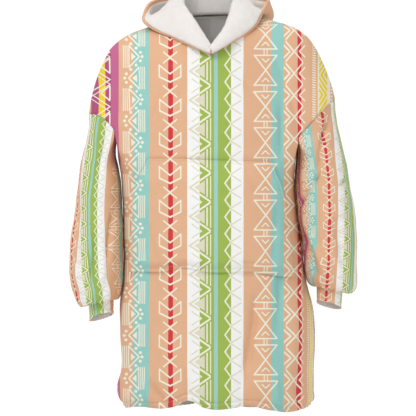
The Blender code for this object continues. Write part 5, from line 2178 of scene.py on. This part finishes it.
@dataclass
class PocketPatch(Piece):
    """The wide pocket, sewn on the front and open at its two slanted sides."""

    columns: int = 130
    rows: int = 96
    edge: float = 0.008
    outer_face: Skin = field(init=False, repr=False)

    def build(
        self, front: BodyPanel, outer: bpy.types.Material, inner: bpy.types.Material
    ) -> bpy.types.Object:
        """Makes the pocket from the front's own surface.

        Args:
            front: The panel that it is sewn on.
            outer: The printed side's material.
            inner: The reverse side's material.

        Returns:
            The finished piece.
        """
        surface = FrontSurface(front)
        top, bottom = POCKET_EDGE[0].z, POCKET_EDGE[-1].z
        across = crowded(np.linspace(0, 1, self.columns + 1))
        grid = []
        for down in np.linspace(0, 1, self.rows + 1):
            z = top + down * (bottom - top)
            left, right = pocket_limits(z)
            x = left + across * (right - left)
            sag = POCKET_SAG * down * (2 * across - 1) ** 2
            points, normals = surface.at(x, z - sag)
            lift = POCKET_STAND_OFF + POCKET_WALL + np.array([pocket_bulge(a, down, z) for a in across])
            grid.append(points + normals * lift[:, None])
        points = np.array(grid)
        skin = Skin(points)
        skin.chart = spread(points[:, :, 0], points[:, :, 2], points[:, :, 1])
        self.relief(skin)
        self.outer_face = skin
        return self.attach([skin], [outer, inner], POCKET_WALL)

    def sew(self, thread: bpy.types.Material) -> None:
        """Lays the stitches round the pocket, a little inside its edge.

        Args:
            thread: The thread's material.
        """
        skin = self.outer_face
        normals = skin.normals()
        inner = round(self.edge / (skin.down()[-1].mean()) * self.rows)
        side = int(np.searchsorted(skin.across()[self.rows // 2], self.edge))
        last_row, last_column = self.rows - inner, self.columns - side
        ring = [(inner, k) for k in range(side, last_column)]
        ring += [(k, last_column) for k in range(inner, last_row)]
        ring += [(last_row, k) for k in range(last_column, side, -1)]
        ring += [(k, side) for k in range(last_row, inner - 1, -1)]
        rows, columns = np.array(ring).T
        Thread().sew(
            f"{self.name}_stitches", self.slot, skin.points[rows, columns], normals[rows, columns], thread
        )

    def relief(self, skin: Skin) -> None:
        """Adds creases, the sewn edge and the puckers along it.

        Args:
            skin: The patch's outer skin, changed in place.
        """
        across, down = skin.across(), skin.down()
        side = np.minimum(across, across[:, -1:] - across)
        ends = np.minimum(down, down[-1:] - down)
        rim = np.minimum(side, ends)
        crease(skin, -1, POCKET_CREASES)
        uneven = rumple(skin.points, 0.060, 21.0) * 0.0018
        uneven += rumple(skin.points, 0.026, 25.0) * FINELY_UNEVEN
        pucker = np.sin(across / 0.006 + 1.5 * np.sin(across / 0.027))
        groove = -0.0011 * bump(rim - self.edge, 0.0022) * (1 + 0.3 * pucker)
        skin.push(uneven * smoothstep(rim / 0.02) + groove)


@dataclass
class HoodHalf(Piece):
    """One half of the hood's outer cloth, which turns over the opening's edge as a band."""

    sign: int = -1
    ribs: Sequence[Rib] = HOOD_LEFT
    columns: int = 150

    def face(self) -> tuple[np.ndarray, np.ndarray]:
        """The face between the shell and the lining, as columns of rows, and its normals.

        Returns:
            The points, then the directions towards the lining.
        """
        columns = np.linspace(0, 1, self.columns + 1)
        grid = hood_rows(self.sign, self.ribs, columns)
        return grid, hood_normals(grid, self.sign)

    def build(self, outer: bpy.types.Material, trim: bpy.types.Material) -> bpy.types.Object:
        """Makes the shell and its band.

        Args:
            outer: The outer side's material.
            trim: The band's and the reverse side's material.

        Returns:
            The finished piece.
        """
        grid, normal = self.face()
        half = HOOD_LAYER_GAP / 2
        band = len(HOOD_BAND_SHARES)
        edge = grid[:, -1] - grid[:, -2]
        edge /= np.linalg.norm(edge, axis=1)[:, None]
        height = HOOD_LINING_WALL * HOOD_BAND_HEIGHT
        deep = half + HOOD_SHELL_WALL
        under = grid - normal * deep
        lip = []
        for turn in np.linspace(0.15, 0.85, 5) * np.pi:
            rise = (height - half - HOOD_SHELL_WALL) / 2 - math.cos(turn) * (height + deep) / 2
            lip.append(grid[:, -1] + normal[:, -1] * rise + edge * (0.0012 * math.sin(turn)))
        over = [grid[:, -1 - k] + normal[:, -1 - k] * height for k in range(band - 1)]
        for back, rise in HOOD_BAND_CURL:
            over.append(grid[:, -band - back] + normal[:, -band - back] * height * rise)
        points = np.concatenate([under.transpose(1, 0, 2), np.array(lip), np.array(over)])
        skin = Skin(points, self.sign < 0)
        down = skin.down()
        across = np.linspace(0, 1, self.columns + 1)[None, :] * HOOD_CUT[0] * self.sign + 0 * down
        skin.chart = printed(across, -down)
        calm = smoothstep(down / 0.02) * smoothstep((down[-1:] - down) / 0.02)
        skin.push(calm * (rumple(points, 0.05, 31.0) * 0.0012))
        return self.attach([skin], [outer, trim], HOOD_CLOTH_WALL, trim_row=under.shape[1] - 3)


@dataclass
class HoodPile(Piece):
    """One half of the hood's pile lining."""

    shell: HoodHalf | None = None
    tuft_count: int = 9000
    fringe_count: int = 5000
    fringe_share: float = 2.1
    tuft_width: float = 0.00075
    tuft_heights: tuple[float, float] = (0.0020, 0.0038)

    def build(self, pile: bpy.types.Material) -> bpy.types.Object:
        """Makes the lining with its uneven pile.

        Args:
            pile: The pile's material.

        Returns:
            The finished piece.
        """
        grid, normal = self.shell.face()
        lined = HOOD_STAND_ROWS + HOOD_FALL_ROWS + 1
        half = HOOD_LAYER_GAP / 2
        height = np.full(lined, half + HOOD_LINING_WALL)
        height[-len(HOOD_PILE_TAPER):] = np.array(HOOD_PILE_TAPER) * HOOD_LINING_WALL
        rows = grid[:, :lined] + normal[:, :lined] * height[None, :, None]
        points = rows.transpose(1, 0, 2)
        skin = Skin(points, self.shell.sign > 0)
        down = skin.down()
        calm = smoothstep(down / 0.008) * smoothstep((down[-1:] - down) / 0.006)
        across = skin.across()
        seam = np.minimum(across, across[:, -1:] - across)
        tufts = rumple(points, 0.016, 41.0) * 0.0011 + rumple(points, 0.007, 47.0) * 0.0008
        skin.push(tufts * calm * smoothstep(seam / 0.006) - 0.0010 * bump(seam, 0.003))
        return self.attach([skin], [pile], HOOD_LINING_WALL - half, [self.tufts(skin, pile)])

    def tufts(self, skin: Skin, pile: bpy.types.Material) -> bpy.types.Object:
        """The pile's tufts: short ones all over, and longer ones where the hood rolls over.

        Args:
            skin: The lining's face.
            pile: The pile's material.

        Returns:
            The tufts as one object.
        """
        last = len(skin.points) - 3
        all_over = sown(skin, (1, last), self.tuft_count, 5)
        fringe = sown(skin, (HOOD_STAND_ROWS - 4, HOOD_STAND_ROWS + 6), self.fringe_count, 9)
        places = np.vstack([all_over[0], fringe[0]])
        lean = np.vstack([all_over[1], fringe[1]])
        chance = np.random.default_rng(13)
        lean = lean + chance.normal(0, 0.42, lean.shape)
        lean /= np.linalg.norm(lean, axis=1)[:, None]
        high = chance.uniform(*self.tuft_heights, len(places))
        high[len(all_over[0]):] *= self.fringe_share
        form = bmesh.new()
        bmesh.ops.create_cone(form, segments=3, radius1=1.0, radius2=0.25, depth=1.0, cap_ends=False)
        side = beside(lean)
        other = np.cross(lean, side)
        axes = (side * self.tuft_width, other * self.tuft_width, lean * high[:, None])
        piece = repeated(f"{self.name}_tufts", form, places + lean * high[:, None] * 0.3, axes, pile)
        return piece


@dataclass
class Studio:
    """The floor, the lights and the camera."""

    floor_z: float = -0.99
    view_width: float = 0.936
    distance: float = CHART_DISTANCE
    centre: tuple[float, float] = CHART_MIDDLE
    sheet_length: float = 16.0
    level_length: float = 11.0
    half_width: float = 9.0
    front_reach: float = 9.0
    bend: float = 3.0

    def floor(self) -> None:
        """A pale floor that curves up behind the garment, clear from its far side."""
        mesh = bmesh.new()
        bmesh.ops.create_grid(mesh, x_segments=1, y_segments=48, size=1.0)
        for vert in mesh.verts:
            run = (vert.co.y + 1) / 2 * self.sheet_length
            past = max(run - self.level_length, 0.0)
            turn = min(past / self.bend, math.pi / 2)
            out = min(run, self.level_length) + self.bend * math.sin(turn)
            up = self.bend * (1 - math.cos(turn)) + max(past - self.bend * math.pi / 2, 0.0)
            vert.co = (vert.co.x * self.half_width, out - self.front_reach, self.floor_z + up)
        data = bpy.data.meshes.new("floor")
        mesh.to_mesh(data)
        mesh.free()
        for face in data.polygons:
            face.use_smooth = True
        paint = bpy.data.materials.new("floor")
        paint.use_nodes = True
        shader = paint.node_tree.nodes["Principled BSDF"]
        shader.inputs["Base Color"].default_value = (0.93, 0.93, 0.93, 1.0)
        shader.inputs["Roughness"].default_value = 0.9
        nodes, links = paint.node_tree.nodes, paint.node_tree.links
        side = nodes.new("ShaderNodeNewGeometry")
        clear = nodes.new("ShaderNodeBsdfTransparent")
        either = nodes.new("ShaderNodeMixShader")
        links.new(side.outputs["Backfacing"], either.inputs["Fac"])
        links.new(shader.outputs["BSDF"], either.inputs[1])
        links.new(clear.outputs["BSDF"], either.inputs[2])
        links.new(either.outputs["Shader"], nodes["Material Output"].inputs["Surface"])
        data.materials.append(paint)
        piece = bpy.data.objects.new("floor", data)
        bpy.context.scene.collection.objects.link(piece)

    def light(
        self, name: str, place: tuple[float, float, float], power_w: float, size: float,
        target: tuple[float, float, float] = (0.0, 0.0, -0.4),
    ) -> None:
        """A square soft light.

        Args:
            name: The light's name.
            place: Where it stands.
            power_w: Its power.
            size: Its side.
            target: What it looks at.
        """
        data = bpy.data.lights.new(name, "AREA")
        data.energy = power_w
        data.size = size
        lamp = bpy.data.objects.new(name, data)
        lamp.location = place
        aim = Vector(target) - Vector(place)
        lamp.rotation_euler = aim.to_track_quat("-Z", "Y").to_euler()
        bpy.context.scene.collection.objects.link(lamp)

    def camera(self) -> None:
        """A long lens, level with the garment's middle."""
        data = bpy.data.cameras.new("camera")
        data.sensor_width = 36.0
        data.lens = 36.0 * self.distance / self.view_width
        data.clip_end = 60.0
        camera = bpy.data.objects.new("camera", data)
        camera.location = (self.centre[0], -self.distance, self.centre[1])
        camera.rotation_euler = (math.pi / 2, 0, 0)
        bpy.context.scene.collection.objects.link(camera)
        bpy.context.scene.camera = camera

    def build(self) -> None:
        """Sets up the studio."""
        self.floor()
        self.light("key", (-2.0, -3.2, 3.0), 88.0, 1.7)
        self.light("fill", (2.8, -3.2, 0.6), 18.0, 3.0)
        self.light("top", (0.0, 0.6, 3.0), 24.0, 3.0)
        self.light("backdrop", (0.0, 1.6, 2.6), 60.0, 3.0, (0.0, 6.5, 0.2))
        world = bpy.data.worlds.new("studio")
        world.use_nodes = True
        sky = world.node_tree.nodes["Background"]
        sky.inputs["Color"].default_value = (1.0, 1.0, 1.0, 1.0)
        sky.inputs["Strength"].default_value = 0.56
        bpy.context.scene.world = world
        bpy.context.scene.view_settings.view_transform = "Standard"
        self.camera()


def main() -> None:
    """Builds the garment, dresses it and sets up the studio."""
    logging.basicConfig(level=logging.INFO, format="%(message)s")
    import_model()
    cloths = Wardrobe()
    front = BodyPanel("front_panel", "body_front", "body", PANEL_CUT, face=Face.FRONT)
    back = BodyPanel("back_panel", "body_back", "body", PANEL_CUT, face=Face.BACK, seed=7.0)
    front.build(cloths.body, cloths.pile)
    back.build(cloths.back, cloths.pile)
    pocket = PocketPatch("pocket_patch", "pocket", "pocket", POCKET_CUT)
    pocket.build(front, cloths.body, cloths.pile)
    pocket.sew(cloths.thread)
    front.sew_hem(cloths.thread)
    back.sew_hem(cloths.thread)
    for name, side, levels, cuff, cloth, tie, line in (
        ("left", LEFT, SLEEVE_LEFT, CUFF_LEFT, cloths.sleeve_left, HOOD_LEFT, PRINT_LINE_LEFT),
        ("right", RIGHT, SLEEVE_RIGHT, CUFF_RIGHT, cloths.sleeve_right, HOOD_RIGHT, PRINT_LINE_RIGHT),
    ):
        sleeve = Sleeve(
            f"{name}_sleeve", f"sleeve_{name}", "sleeve", SLEEVE_CUT, Held.GATHERED, side, levels,
            print_line=line,
        )
        sleeve.build(cloth, cloths.pile)
        band = CuffBand(
            f"{name}_cuff", f"cuff_{name}", "cuff", CUFF_CUT, Held.GATHERED, cuff, side, levels,
            sleeve
        )
        band.build(cloth, cloths.pile)
        band.sew(cloths.thread)
        shell = HoodHalf(f"{name}_hood", f"hood_{name}", "hood", HOOD_CUT, sign=side.sign, ribs=tie)
        shell.build(cloths.hood, cloths.trim)
        HoodPile(
            f"{name}_hood_pile", f"hood_lining_{name}", "hood_lining", HOOD_CUT, shell=shell
        ).build(cloths.pile)
    Studio().build()


if __name__ == "__main__":
    main()
